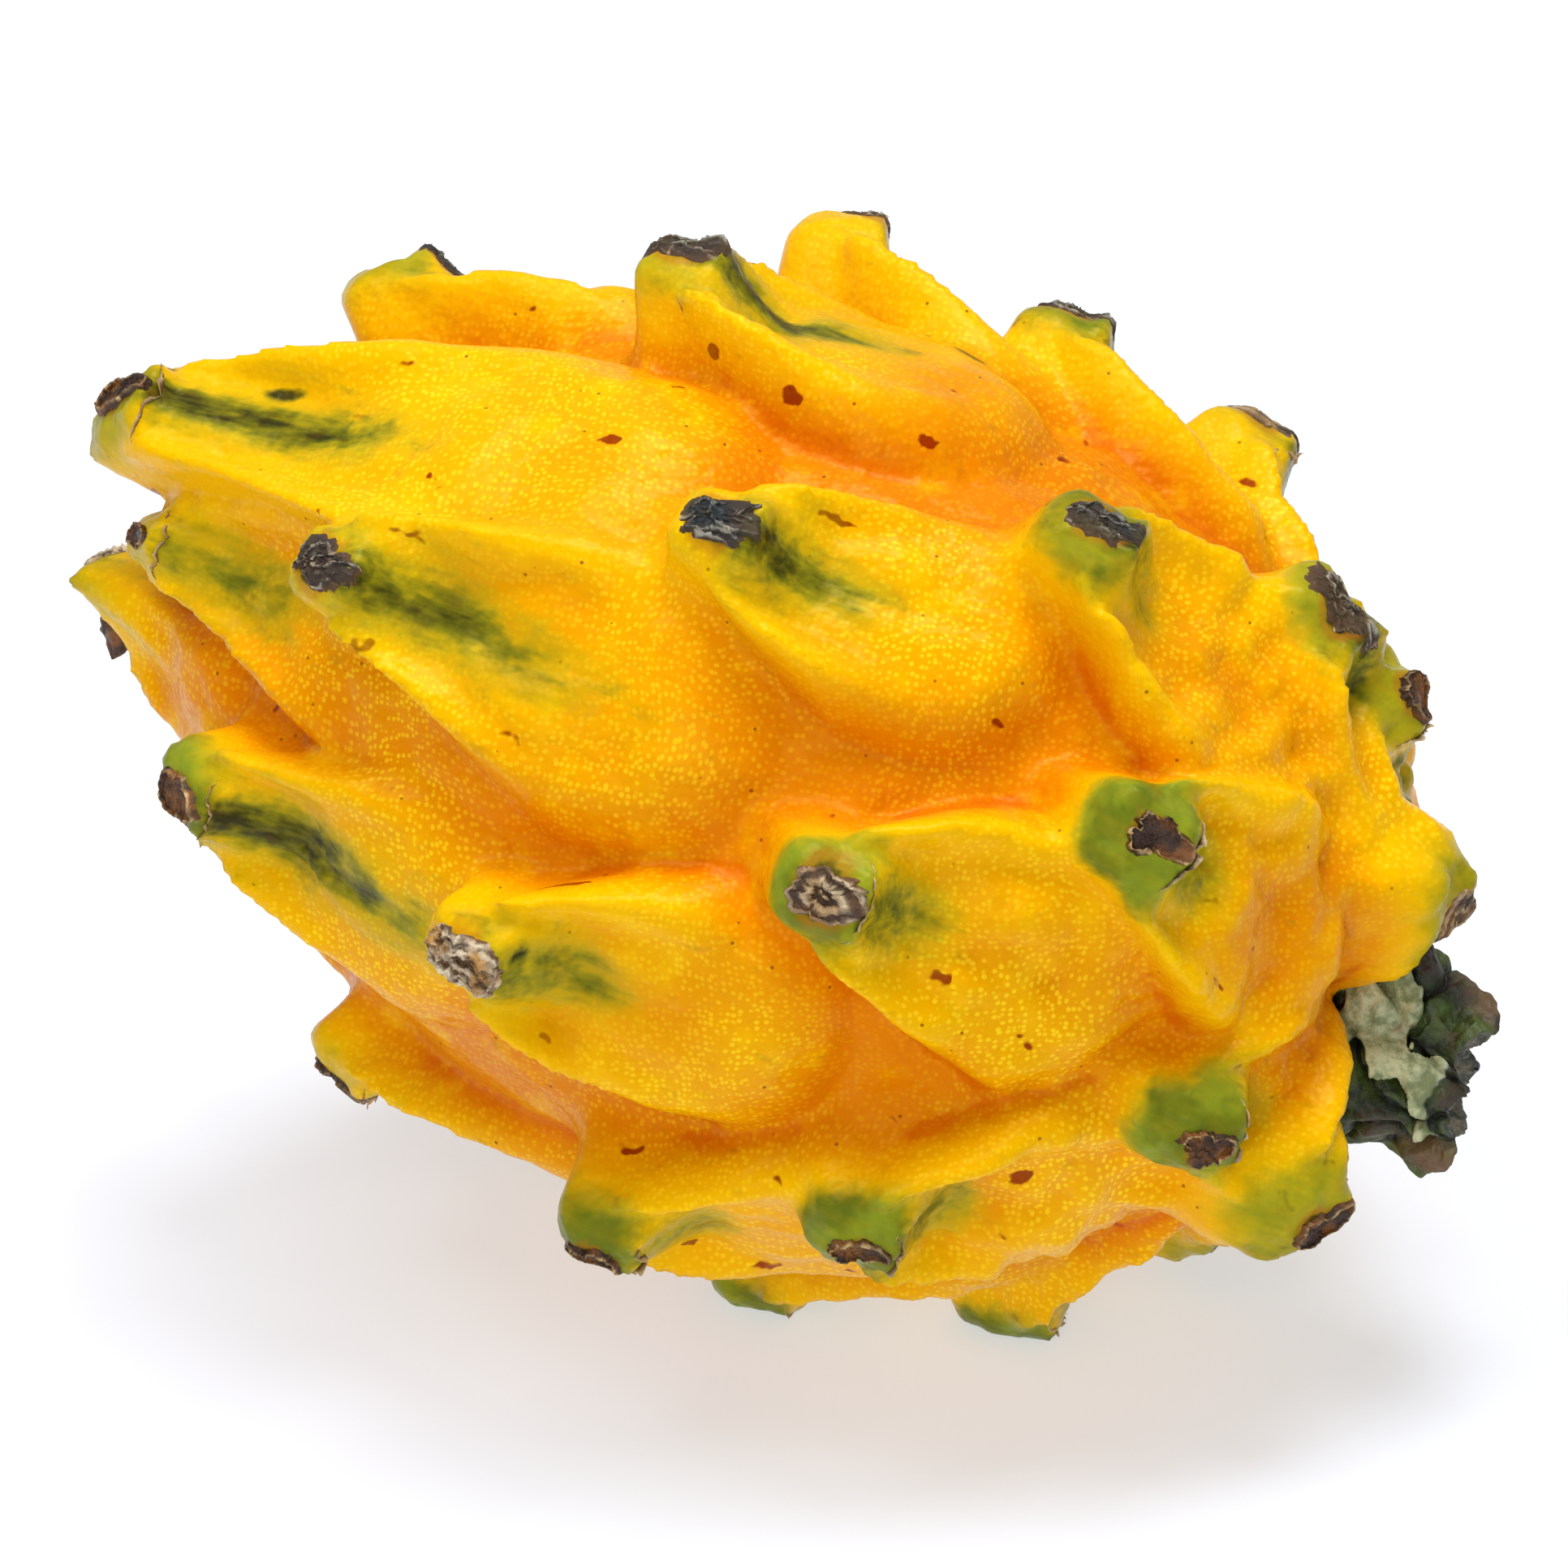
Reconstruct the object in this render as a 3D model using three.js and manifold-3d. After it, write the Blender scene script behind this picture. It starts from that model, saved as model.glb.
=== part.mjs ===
// Yellow pitahaya, a yellow-skinned dragon fruit, lying on its side. Millimetres, +Z up.
// The fruit is one grown body: an egg whose skin is raised into tubercles on a spiral.
// Its cut stem is a separate short stub in the hollow at the stem end.
import * as THREE from 'three';
import * as BufferGeometryUtils from 'three/addons/utils/BufferGeometryUtils.js';
import Module from 'manifold-3d';

// Egg under the tubercles
const BODY_LENGTH = 94;
const BODY_RADIUS = 31.4;
const FATTER_AT_STEM = 0.10;
const POINTEDNESS = 1.08;
const PITCH_DEG = 15;
const FLAT_DEPTH = 1.8;

// Spiral of tubercles: number 0 sits near the middle, numbers grow towards the stem
const FIRST_TUBERCLE = -18;
const LAST_TUBERCLE = 21;
const TURN_DEG = 99.8;
const MIDDLE_ANGLE_DEG = 33;
const MIDDLE_STATION = -2.2;
const STATION_STEP = 2.6;
const BLOSSOM_LIMIT = -46.2;
const STEM_LIMIT = 44.5;
const RANDOM_SEED = 7;

// A full-sized tubercle: a kite-shaped pad that carries a blunt nub at its blossom-side tip.
// Two ridges, its wings, run back from the nub along the pad's edges.
const PAD_HEIGHT = 3.9;
const PAD_LENGTH = 24.5;
const PAD_HALF_WIDTH = 10.6;
const PAD_WIDEST_AT = 0.6;
const PAD_EDGE_FROM = 0.58;
const PAD_EDGE_TO = 1.18;
const NUB_HEIGHT = 4.6;
const NUB_HALF_WIDTH = 3.7;
const NUB_FLAT = 3.2;
const FRONT_LENGTH = 1.3;
const FRONT_POWER = 2.2;
const NUB_BACK_SLOPE = 3.4;
const WING_LENGTH = 0.66;
const WING_PLACE = 0.74;
const WING_SPREAD = 0.21;
const WING_SHARE = 0.95;
const GROOVE_DEPTH = 0.5;
const SMALLEST_SIZE = 0.45;
const END_ZONE = 27;
const BLEND_POWER = 3;
const LEAN_FROM = 0.82;
const LEAN_POWER = 1.3;
const FULL_PAD = 4;

// How far a nub leans towards the blossom end, along the fruit
const REACH_STATIONS = [-49, -25, 0, 25, 49];
const REACHES = [6.5, 5, 3.6, 2, 0.5];

// Hollows at the two ends and the folds that crowd towards the stem
const STEM_HOLLOW = { radius: 8.5, depth: 5 };
const BLOSSOM_HOLLOW = { radius: 6, depth: 6 };
const FOLD_HEIGHT = 0.9;
const FOLD_COUNT = 11;

// Fruit surface grid, counted along the fruit and round it
const ROWS = 74;
const COLUMNS = 78;
const MERIDIAN_SAMPLES = 600;

// Stem stub: three blunt lobes, cut off and torn at its end
const STUB_FROM = 41;
const STUB_TO = 55.3;
const STUB_RADIUS = 5.9;
const STUB_LOBES = 3;
const STUB_LOBE_HEIGHT = 1.5;
const STUB_LOBE_TURN_DEG = 20;
const STUB_ROWS = 12;
const STUB_COLUMNS = 36;
const STUB_TEAR = 1.3;
const STUB_SAG = 2.0;
const STUB_SIDEWAYS = 2.6;
const STUB_GAP = 0.4;

// Tubercles that depart from the rule: shifts along and round the fruit, own sizes
const DEPARTURES = new Map([
  [-18, { reach: 6 }],
  [-17, { shift: 1, turn: -26, reach: 9.5, nub: 6, pad: 2.8, length: 14, halfWidth: 5 }],
  [-16, { reach: 7 }],
  [-15, { reach: 8 }],
  [-14, { shift: -1, turn: -16, reach: 9, length: 36, halfWidth: 8 }],
  [-11, { shift: -5, turn: 11, reach: 17, length: 34, halfWidth: 10, nub: 5.6, pad: 4.6, blunt: 6.2 }],
  [-10, { shift: -3, turn: -15, nub: 4.6, pad: 3.3 }],
  [-8, { shift: -9.5, turn: 13, reach: 6, nub: 5.4, pad: 4.6, blunt: 4.6 }],
  [-7, { shift: -4, reach: 7 }],
  [-6, { shift: -1, turn: 3, nub: 3.6, pad: 3.4 }],
  [-4, { shift: -0.8 }],
  [-3, { shift: 1.2, turn: -2 }],
  [-2, { nub: 12.2, reach: 1 }],
  [-1, { shift: -2, turn: 27, nub: 8.2, blunt: 4.2 }],
  [0, { shift: -1, turn: 3 }],
  [1, { shift: 3, turn: -7, nub: 4.9 }],
  [3, { shift: 3, turn: -8 }],
  [4, { shift: 2.7, turn: -3 }],
  [5, { shift: 0.5, turn: -5 }],
  [7, { shift: 1.5, turn: 8 }],
  [9, { nub: 8.8, reach: 2 }],
  [10, { shift: -2.5, turn: 6, nub: 6 }],
  [11, { shift: 0.5 }],
  [12, { shift: -2, turn: 18 }],
  [14, { shift: -2.5, turn: 10 }],
  [15, { shift: -1, turn: 1 }],
  [16, { shift: -3.5, nub: 5, pad: 3, blunt: 4 }],
  [18, { shift: -0.5, turn: -13, reach: -2, nub: 7, blunt: 5.6, halfWidth: 7 }],
  [19, { shift: -6, turn: -17, nub: 6.2, pad: 3.8, blunt: 4.6, length: 14, halfWidth: 8 }],
  [21, { shift: -15.5, turn: 24, reach: 0, nub: 2.6, pad: 3.2, blunt: 4, length: 13, halfWidth: 8 }],
]);

const wasm = await Module();
wasm.setup();

// Small helpers
function clamp(value, low, high) {
  return Math.min(Math.max(value, low), high);
}

function smooth(from, to, value) {
  const t = clamp((value - from) / (to - from), 0, 1);
  return t * t * (3 - 2 * t);
}

function lookUp(value, inputs, outputs) {
  let k = 1;
  while (k < inputs.length - 1 && inputs[k] < value) k += 1;
  const t = clamp((value - inputs[k - 1]) / (inputs[k] - inputs[k - 1]), 0, 1);
  return outputs[k - 1] + t * (outputs[k] - outputs[k - 1]);
}

function randomSource(seed) {
  let state = seed;
  return function next() {
    state = (state + 0x6d2b79f5) | 0;
    let t = Math.imul(state ^ (state >>> 15), 1 | state);
    t = (t + Math.imul(t ^ (t >>> 7), 61 | t)) ^ t;
    return ((t ^ (t >>> 14)) >>> 0) / 2147483648 - 1;
  };
}

// Outline of the egg from the blossom end to the stem end, measured by length along the skin
function eggOutline() {
  const along = [0];
  const station = [-BODY_LENGTH / 2];
  const radius = [0];
  for (let k = 1; k <= MERIDIAN_SAMPLES; k += 1) {
    const angle = (Math.PI * k) / MERIDIAN_SAMPLES;
    const s = -Math.cos(angle);
    const round = Math.pow(Math.max(Math.sin(angle), 0), POINTEDNESS);
    station.push((BODY_LENGTH / 2) * s);
    radius.push(k === MERIDIAN_SAMPLES ? 0 : BODY_RADIUS * round * (1 + FATTER_AT_STEM * s));
    const step = Math.hypot(station[k] - station[k - 1], radius[k] - radius[k - 1]);
    along.push(along[k - 1] + step);
  }
  return { along, station, radius, total: along[MERIDIAN_SAMPLES] };
}

const egg = eggOutline();

// The list of tubercles with their places and sizes
function listTubercles() {
  const random = randomSource(RANDOM_SEED);
  const list = [];
  for (let n = FIRST_TUBERCLE; n <= LAST_TUBERCLE; n += 1) {
    const own = DEPARTURES.get(n) ?? {};
    const draw = [random(), random(), random(), random(), random()];
    const rule = MIDDLE_STATION + STATION_STEP * n + (own.shift ?? 0);
    const station = clamp(rule, BLOSSOM_LIMIT, STEM_LIMIT);
    const room = smooth(-3, END_ZONE - 3, BODY_LENGTH / 2 - Math.abs(station));
    const size = SMALLEST_SIZE + (1 - SMALLEST_SIZE) * room;
    const longer = station < -15 ? 1.15 : 1;
    list.push({
      station,
      along: lookUp(station, egg.station, egg.along),
      radius: lookUp(station, egg.station, egg.radius),
      angle: THREE.MathUtils.degToRad(MIDDLE_ANGLE_DEG + TURN_DEG * n + (own.turn ?? 0)),
      pad: own.pad ?? (PAD_HEIGHT + 0.4 * draw[0]) * size,
      nub: own.nub ?? (NUB_HEIGHT + 0.6 * draw[1]) * (0.35 + 0.65 * size),
      reach: own.reach ?? lookUp(station, REACH_STATIONS, REACHES),
      length: own.length ?? (PAD_LENGTH + 1.5 * draw[2]) * size * longer,
      halfWidth: own.halfWidth ?? (PAD_HALF_WIDTH + 0.8 * draw[3]) * size,
      blunt: own.blunt ?? NUB_HALF_WIDTH,
      bend: 1.6 * draw[4],
      leftWing: 1 + 0.3 * draw[4],
    });
  }
  return list;
}

const tubercles = listTubercles();

// Height of one tubercle over the egg; x runs from its tip towards the stem, y across it
function tubercleHeight(tubercle, x, yStraight) {
  const { length, halfWidth, blunt, pad, nub } = tubercle;
  const y = yStraight + tubercle.bend * smooth(2, 16, x);
  const t = (x + 1.5) / (length + 1.5);
  const tIn = clamp(t, 0, 1);
  const opening = Math.sin((clamp(tIn / PAD_WIDEST_AT, 0, 1) * Math.PI) / 2);
  const widthHere = blunt + (halfWidth - blunt) * Math.pow(opening, 1.3);
  const pastWidest = (t - PAD_WIDEST_AT) / (1 - PAD_WIDEST_AT);
  const side = pastWidest < 0 ? Math.abs(y) / widthHere : Math.hypot(y / halfWidth, pastWidest);
  const front = x < 0 ? Math.exp(-Math.pow(-x / (blunt * FRONT_LENGTH), FRONT_POWER)) : 1;
  const padHere = pad * (1 - smooth(PAD_EDGE_FROM, PAD_EDGE_TO, side)) * (1 - 0.35 * tIn) * front;
  const across = Math.exp(-Math.pow(Math.abs(y) / blunt, 3));
  const cap = (1 - smooth(NUB_FLAT, NUB_FLAT + NUB_BACK_SLOPE, x)) * across;
  const wingEnd = WING_LENGTH * length * (y > 0 ? tubercle.leftWing : 2 - tubercle.leftWing);
  const wingFall = Math.pow(clamp(1 - x / wingEnd, 0, 1), 1.2) * smooth(-1, 2, x);
  const wing = WING_SHARE * wingFall * Math.exp(-Math.pow((side - WING_PLACE) / WING_SPREAD, 2));
  const nubHere = nub * front * Math.max(cap, wing);
  const grooveRange = smooth(3, 7, x) * (1 - smooth(10, 17, x));
  const groove = GROOVE_DEPTH * Math.exp(-Math.pow(y / 1.6, 2)) * grooveRange;
  return padHere + nubHere - groove * (pad / FULL_PAD);
}

// Height over the egg and lean towards the blossom end at one place of the skin
function reliefAt(along, angle, radius) {
  let heightSum = 0;
  let leanSum = 0;
  for (const tubercle of tubercles) {
    const x = along - tubercle.along;
    if (x < -12 || x > tubercle.length + 8) continue;
    const turn = THREE.MathUtils.euclideanModulo(angle - tubercle.angle + Math.PI, 2 * Math.PI) - Math.PI;
    const y = turn * Math.min(radius, tubercle.radius + 3);
    const height = tubercleHeight(tubercle, x, y);
    if (height <= 0) continue;
    const weight = Math.pow(height, BLEND_POWER);
    const share = clamp(height / (tubercle.pad + tubercle.nub) / LEAN_FROM, 0, 1);
    heightSum += weight;
    leanSum += weight * tubercle.reach * Math.pow(share, LEAN_POWER);
  }
  if (heightSum === 0) return { height: 0, lean: 0 };
  return { height: Math.pow(heightSum, 1 / BLEND_POWER), lean: leanSum / heightSum };
}

// A point of the skin before the fruit is laid down: x along the axis, r and angle round it
function skinPoint(along, angle, raise) {
  const station = lookUp(along, egg.along, egg.station);
  const radius = lookUp(along, egg.along, egg.radius);
  const near = 0.2;
  const before = clamp(along - near, 0, egg.total);
  const after = clamp(along + near, 0, egg.total);
  const slopeX = lookUp(after, egg.along, egg.station) - lookUp(before, egg.along, egg.station);
  const slopeR = lookUp(after, egg.along, egg.radius) - lookUp(before, egg.along, egg.radius);
  const slope = Math.hypot(slopeX, slopeR);
  const tangentX = slopeX / slope;
  const tangentR = slopeR / slope;
  const stemHollow = station > 0 ? Math.exp(-Math.pow(radius / STEM_HOLLOW.radius, 2.4)) : 0;
  const blossomHollow = station < 0 ? Math.exp(-Math.pow(radius / BLOSSOM_HOLLOW.radius, 2.4)) : 0;
  const relief = reliefAt(along, angle, radius);
  const outside = (1 - stemHollow) * (1 - blossomHollow);
  const foldRange = smooth(20, 40, station) * smooth(4, 10, radius);
  const foldWave = Math.sin(FOLD_COUNT * angle + 2 * Math.sin(3 * angle) + 0.12 * station);
  const fold = FOLD_HEIGHT * foldRange * foldWave * (0.6 + 0.4 * Math.sin(5 * angle + 1));
  const hollow = STEM_HOLLOW.depth * stemHollow + BLOSSOM_HOLLOW.depth * blossomHollow;
  const height = relief.height * outside - hollow + fold + raise;
  const lean = relief.lean * outside;
  return {
    x: station - tangentR * height - tangentX * lean,
    r: Math.max(radius + tangentX * height - tangentR * lean, 0.05),
  };
}

// Turns a place given along, above and beside the fruit axis into the lying pose
function layAt(x, up, side) {
  const pitch = THREE.MathUtils.degToRad(PITCH_DEG);
  return new THREE.Vector3(
    x * Math.cos(pitch) + up * Math.sin(pitch),
    -side,
    -x * Math.sin(pitch) + up * Math.cos(pitch),
  );
}

// The same for a place given by its distance from the axis and its angle round it
function lay(x, r, angle) {
  return layAt(x, r * Math.cos(angle), r * Math.sin(angle));
}

// Closed body from rings of points between two end points, triangles turned outward
function closedRings(firstPoint, rings, lastPoint) {
  const points = [firstPoint, ...rings.flat(), lastPoint];
  const columns = rings[0].length;
  const last = points.length - 1;
  const at = (row, column) => 1 + row * columns + (column % columns);
  const triangles = [];
  for (let j = 0; j < columns; j += 1) {
    triangles.push([0, at(0, j + 1), at(0, j)]);
    triangles.push([last, at(rings.length - 1, j), at(rings.length - 1, j + 1)]);
  }
  for (let i = 0; i < rings.length - 1; i += 1) {
    for (let j = 0; j < columns; j += 1) {
      const a = at(i, j);
      const b = at(i, j + 1);
      const c = at(i + 1, j + 1);
      const d = at(i + 1, j);
      const shortFirst = points[a].distanceTo(points[c]) <= points[b].distanceTo(points[d]);
      triangles.push(shortFirst ? [a, b, c] : [a, b, d]);
      triangles.push(shortFirst ? [a, c, d] : [b, c, d]);
    }
  }
  const geometry = new THREE.BufferGeometry();
  const flat = points.flatMap((point) => [point.x, point.y, point.z]);
  geometry.setAttribute('position', new THREE.Float32BufferAttribute(flat, 3));
  geometry.setIndex(triangles.flat());
  return geometry;
}

// The skin of the whole fruit, raised evenly by a small amount if asked
function fruitGeometry(raise) {
  const rings = [];
  for (let i = 1; i < ROWS; i += 1) {
    const along = (egg.total * i) / ROWS;
    const ring = [];
    for (let j = 0; j < COLUMNS; j += 1) {
      const angle = (2 * Math.PI * j) / COLUMNS;
      const place = skinPoint(along, angle, raise);
      ring.push(lay(place.x, place.r, angle));
    }
    rings.push(ring);
  }
  const middleOf = (ring) => {
    const middle = new THREE.Vector3();
    for (const point of ring) middle.addScaledVector(point, 1 / ring.length);
    return middle;
  };
  return closedRings(middleOf(rings[0]), rings, middleOf(rings[rings.length - 1]));
}

// The stub bends down and forward from the fruit axis; its end rises and falls like a torn edge
function stubGeometry() {
  const rings = [];
  for (let i = 0; i <= STUB_ROWS; i += 1) {
    const t = i / STUB_ROWS;
    const ring = [];
    for (let j = 0; j < STUB_COLUMNS; j += 1) {
      const angle = (2 * Math.PI * j) / STUB_COLUMNS;
      const lobe = Math.cos(STUB_LOBES * angle + THREE.MathUtils.degToRad(STUB_LOBE_TURN_DEG));
      const swell = 0.84 + 0.24 * Math.sin(Math.PI * Math.min(t * 1.15, 1));
      const radius = (STUB_RADIUS + STUB_LOBE_HEIGHT * lobe) * swell;
      const tear = STUB_TEAR * smooth(0.5, 1, t) * Math.sin(2 * angle + 0.8) * Math.cos(5 * angle);
      const x = STUB_FROM + (STUB_TO - STUB_FROM) * t + tear;
      const up = radius * Math.cos(angle) - STUB_SAG * (0.3 + t);
      ring.push(layAt(x, up, radius * Math.sin(angle) + STUB_SIDEWAYS * (0.2 + t)));
    }
    rings.push(ring);
  }
  const first = layAt(STUB_FROM, -0.3 * STUB_SAG, 0.2 * STUB_SIDEWAYS);
  return closedRings(first, rings, layAt(STUB_TO - 1.5, -1.3 * STUB_SAG, 1.2 * STUB_SIDEWAYS));
}

function toManifold(geometry) {
  const vertProperties = new Float32Array(geometry.getAttribute('position').array);
  const triVerts = new Uint32Array(geometry.getIndex().array);
  return new wasm.Manifold(new wasm.Mesh({ numProp: 3, vertProperties, triVerts }));
}

function toGeometry(manifold) {
  const mesh = manifold.getMesh();
  const geometry = new THREE.BufferGeometry();
  geometry.setAttribute('position', new THREE.BufferAttribute(mesh.vertProperties.slice(), 3));
  geometry.setIndex(new THREE.BufferAttribute(mesh.triVerts.slice(), 1));
  return BufferGeometryUtils.mergeVertices(geometry, 1e-3);
}

// The largest closed body left after a cut
function largestPiece(manifold) {
  const pieces = manifold.decompose();
  pieces.sort((a, b) => b.volume() - a.volume());
  return pieces[0];
}

// Lowers the body onto the ground and presses its lowest tips flat there
function restOnGround(geometry, drop) {
  const position = geometry.getAttribute('position');
  for (let k = 0; k < position.count; k += 1) {
    position.setZ(k, Math.max(position.getZ(k) - drop, 0));
  }
  return geometry;
}

const fruit = fruitGeometry(0);
fruit.computeBoundingBox();
const ground = fruit.boundingBox.min.z + FLAT_DEPTH;
restOnGround(fruit, ground);

const hollowCutter = restOnGround(fruitGeometry(STUB_GAP), ground);
const wholeStub = restOnGround(stubGeometry(), ground);
const stub = toGeometry(largestPiece(toManifold(wholeStub).subtract(toManifold(hollowCutter))));

// Puts the middle of the whole outline over the origin
const outline = new THREE.Box3().setFromBufferAttribute(fruit.getAttribute('position'));
outline.union(new THREE.Box3().setFromBufferAttribute(stub.getAttribute('position')));
const middle = outline.getCenter(new THREE.Vector3());
fruit.translate(-middle.x, -middle.y, 0);
stub.translate(-middle.x, -middle.y, 0);

const group = new THREE.Group();
group.name = 'yellow_pitahaya';

const skinMaterial = new THREE.MeshStandardMaterial({ color: 0xf7b40c, roughness: 0.45, metalness: 0 });
const fruitMesh = new THREE.Mesh(fruit, skinMaterial);
fruitMesh.name = 'fruit';
group.add(fruitMesh);

const stemMaterial = new THREE.MeshStandardMaterial({ color: 0x3f4a24, roughness: 0.7, metalness: 0 });
const stubMesh = new THREE.Mesh(stub, stemMaterial);
stubMesh.name = 'stem_stub';
group.add(stubMesh);

export default group;
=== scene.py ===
import math

import bpy
import numpy as np
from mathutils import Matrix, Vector, kdtree, noise


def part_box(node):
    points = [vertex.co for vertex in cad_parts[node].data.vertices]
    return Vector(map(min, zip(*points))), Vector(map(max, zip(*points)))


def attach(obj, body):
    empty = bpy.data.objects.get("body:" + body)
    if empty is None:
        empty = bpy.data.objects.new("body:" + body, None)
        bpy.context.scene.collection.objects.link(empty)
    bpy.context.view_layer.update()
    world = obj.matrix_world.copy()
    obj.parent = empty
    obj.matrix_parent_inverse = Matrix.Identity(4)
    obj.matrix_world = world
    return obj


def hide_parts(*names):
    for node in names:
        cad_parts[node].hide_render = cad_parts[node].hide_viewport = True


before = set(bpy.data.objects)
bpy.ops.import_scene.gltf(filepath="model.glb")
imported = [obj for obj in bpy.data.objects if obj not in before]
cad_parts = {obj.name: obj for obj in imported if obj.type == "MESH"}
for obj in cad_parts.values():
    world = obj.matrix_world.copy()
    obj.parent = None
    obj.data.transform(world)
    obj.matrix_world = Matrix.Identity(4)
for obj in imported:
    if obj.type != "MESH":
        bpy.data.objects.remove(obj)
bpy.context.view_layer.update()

MM = 0.001

# Blender draws its noise vectors by the clock until they are seeded
NOISE_SEED = 1
noise.seed_set(NOISE_SEED)

# Egg under the tubercles, as in the part's source
BODY_LENGTH = 94.0
BODY_RADIUS = 31.4
FATTER_AT_STEM = 0.10
POINTEDNESS = 1.08
PITCH = math.radians(15.0)
FLAT_DEPTH = 1.8

# Spiral of tubercles
FIRST_TUBERCLE, LAST_TUBERCLE = -18, 21
TURN_DEG = 99.8
MIDDLE_ANGLE_DEG = 33.0
MIDDLE_STATION = -2.2
STATION_STEP = 2.6
BLOSSOM_LIMIT, STEM_LIMIT = -46.2, 44.5
RANDOM_SEED = 7

# A full-sized tubercle
PAD_HEIGHT, PAD_LENGTH, PAD_HALF_WIDTH = 3.9, 24.5, 10.6
PAD_EDGE_FROM, PAD_EDGE_TO = 0.58, 1.18
PAD_WIDEST_AT = 0.6
NUB_HEIGHT, NUB_HALF_WIDTH, NUB_FLAT, NUB_BACK_SLOPE = 4.6, 3.7, 3.2, 3.4
FRONT_LENGTH, FRONT_POWER = 1.3, 2.2
WING_LENGTH, WING_PLACE, WING_SPREAD, WING_SHARE = 0.66, 0.74, 0.21, 0.95
GROOVE_DEPTH = 0.5
SMALLEST_SIZE, END_ZONE = 0.45, 27.0
BLEND_POWER = 3.0
LEAN_FROM, LEAN_POWER = 0.82, 1.3
FULL_PAD = 4.0
REACH_STATIONS = [-49, -25, 0, 25, 49]
REACHES = [6.5, 5, 3.6, 2, 0.5]

# Hollows at the ends and folds near the stem
STEM_HOLLOW_RADIUS, STEM_HOLLOW_DEPTH = 8.5, 5.0
BLOSSOM_HOLLOW_RADIUS, BLOSSOM_HOLLOW_DEPTH = 6.0, 6.0
FOLD_HEIGHT, FOLD_COUNT = 0.9, 11

# Coarse grid of the part's source, and the fine one used here
COARSE_ROWS, COARSE_COLUMNS = 74, 78
FINE_ROWS, FINE_COLUMNS = 520, 680

# Side of the even faces of the shown skin, in metres
VOXEL = 0.00066

# Where single tubercles differ from the rule, as in the part's source
DEPARTURES = {
    -18: dict(reach=6),
    -17: dict(shift=1, turn=-26, reach=9.5, nub=6, pad=2.8, length=14, half_width=5),
    -16: dict(reach=7),
    -15: dict(reach=8),
    -14: dict(shift=-1, turn=-16, reach=9, length=36, half_width=8),
    -11: dict(shift=-5, turn=11, reach=17, length=34, half_width=10, nub=5.6, pad=4.6, blunt=6.2),
    -10: dict(shift=-3, turn=-15, nub=4.6, pad=3.3),
    -8: dict(shift=-9.5, turn=13, reach=6, nub=5.4, pad=4.6, blunt=4.6),
    -7: dict(shift=-4, reach=7),
    -6: dict(shift=-1, turn=3, nub=3.6, pad=3.4),
    -4: dict(shift=-0.8),
    -3: dict(shift=1.2, turn=-2),
    -2: dict(nub=12.2, reach=1),
    -1: dict(shift=-2, turn=27, nub=8.2, blunt=4.2),
    0: dict(shift=-1, turn=3),
    1: dict(shift=3, turn=-7, nub=4.9),
    3: dict(shift=3, turn=-8),
    4: dict(shift=2.7, turn=-3),
    5: dict(shift=0.5, turn=-5),
    7: dict(shift=1.5, turn=8),
    9: dict(nub=8.8, reach=2),
    10: dict(shift=-2.5, turn=6, nub=6),
    11: dict(shift=0.5),
    12: dict(shift=-2, turn=18),
    14: dict(shift=-2.5, turn=10),
    15: dict(shift=-1, turn=1),
    16: dict(shift=-3.5, nub=5, pad=3, blunt=4),
    18: dict(shift=-0.5, turn=-13, reach=-2, nub=7, blunt=5.6, half_width=7),
    19: dict(shift=-6, turn=-17, nub=6.2, pad=3.8, blunt=4.6, length=14, half_width=8),
    21: dict(shift=-15.5, turn=24, reach=0, nub=2.6, pad=3.2, blunt=4, length=13, half_width=8),
}

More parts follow.
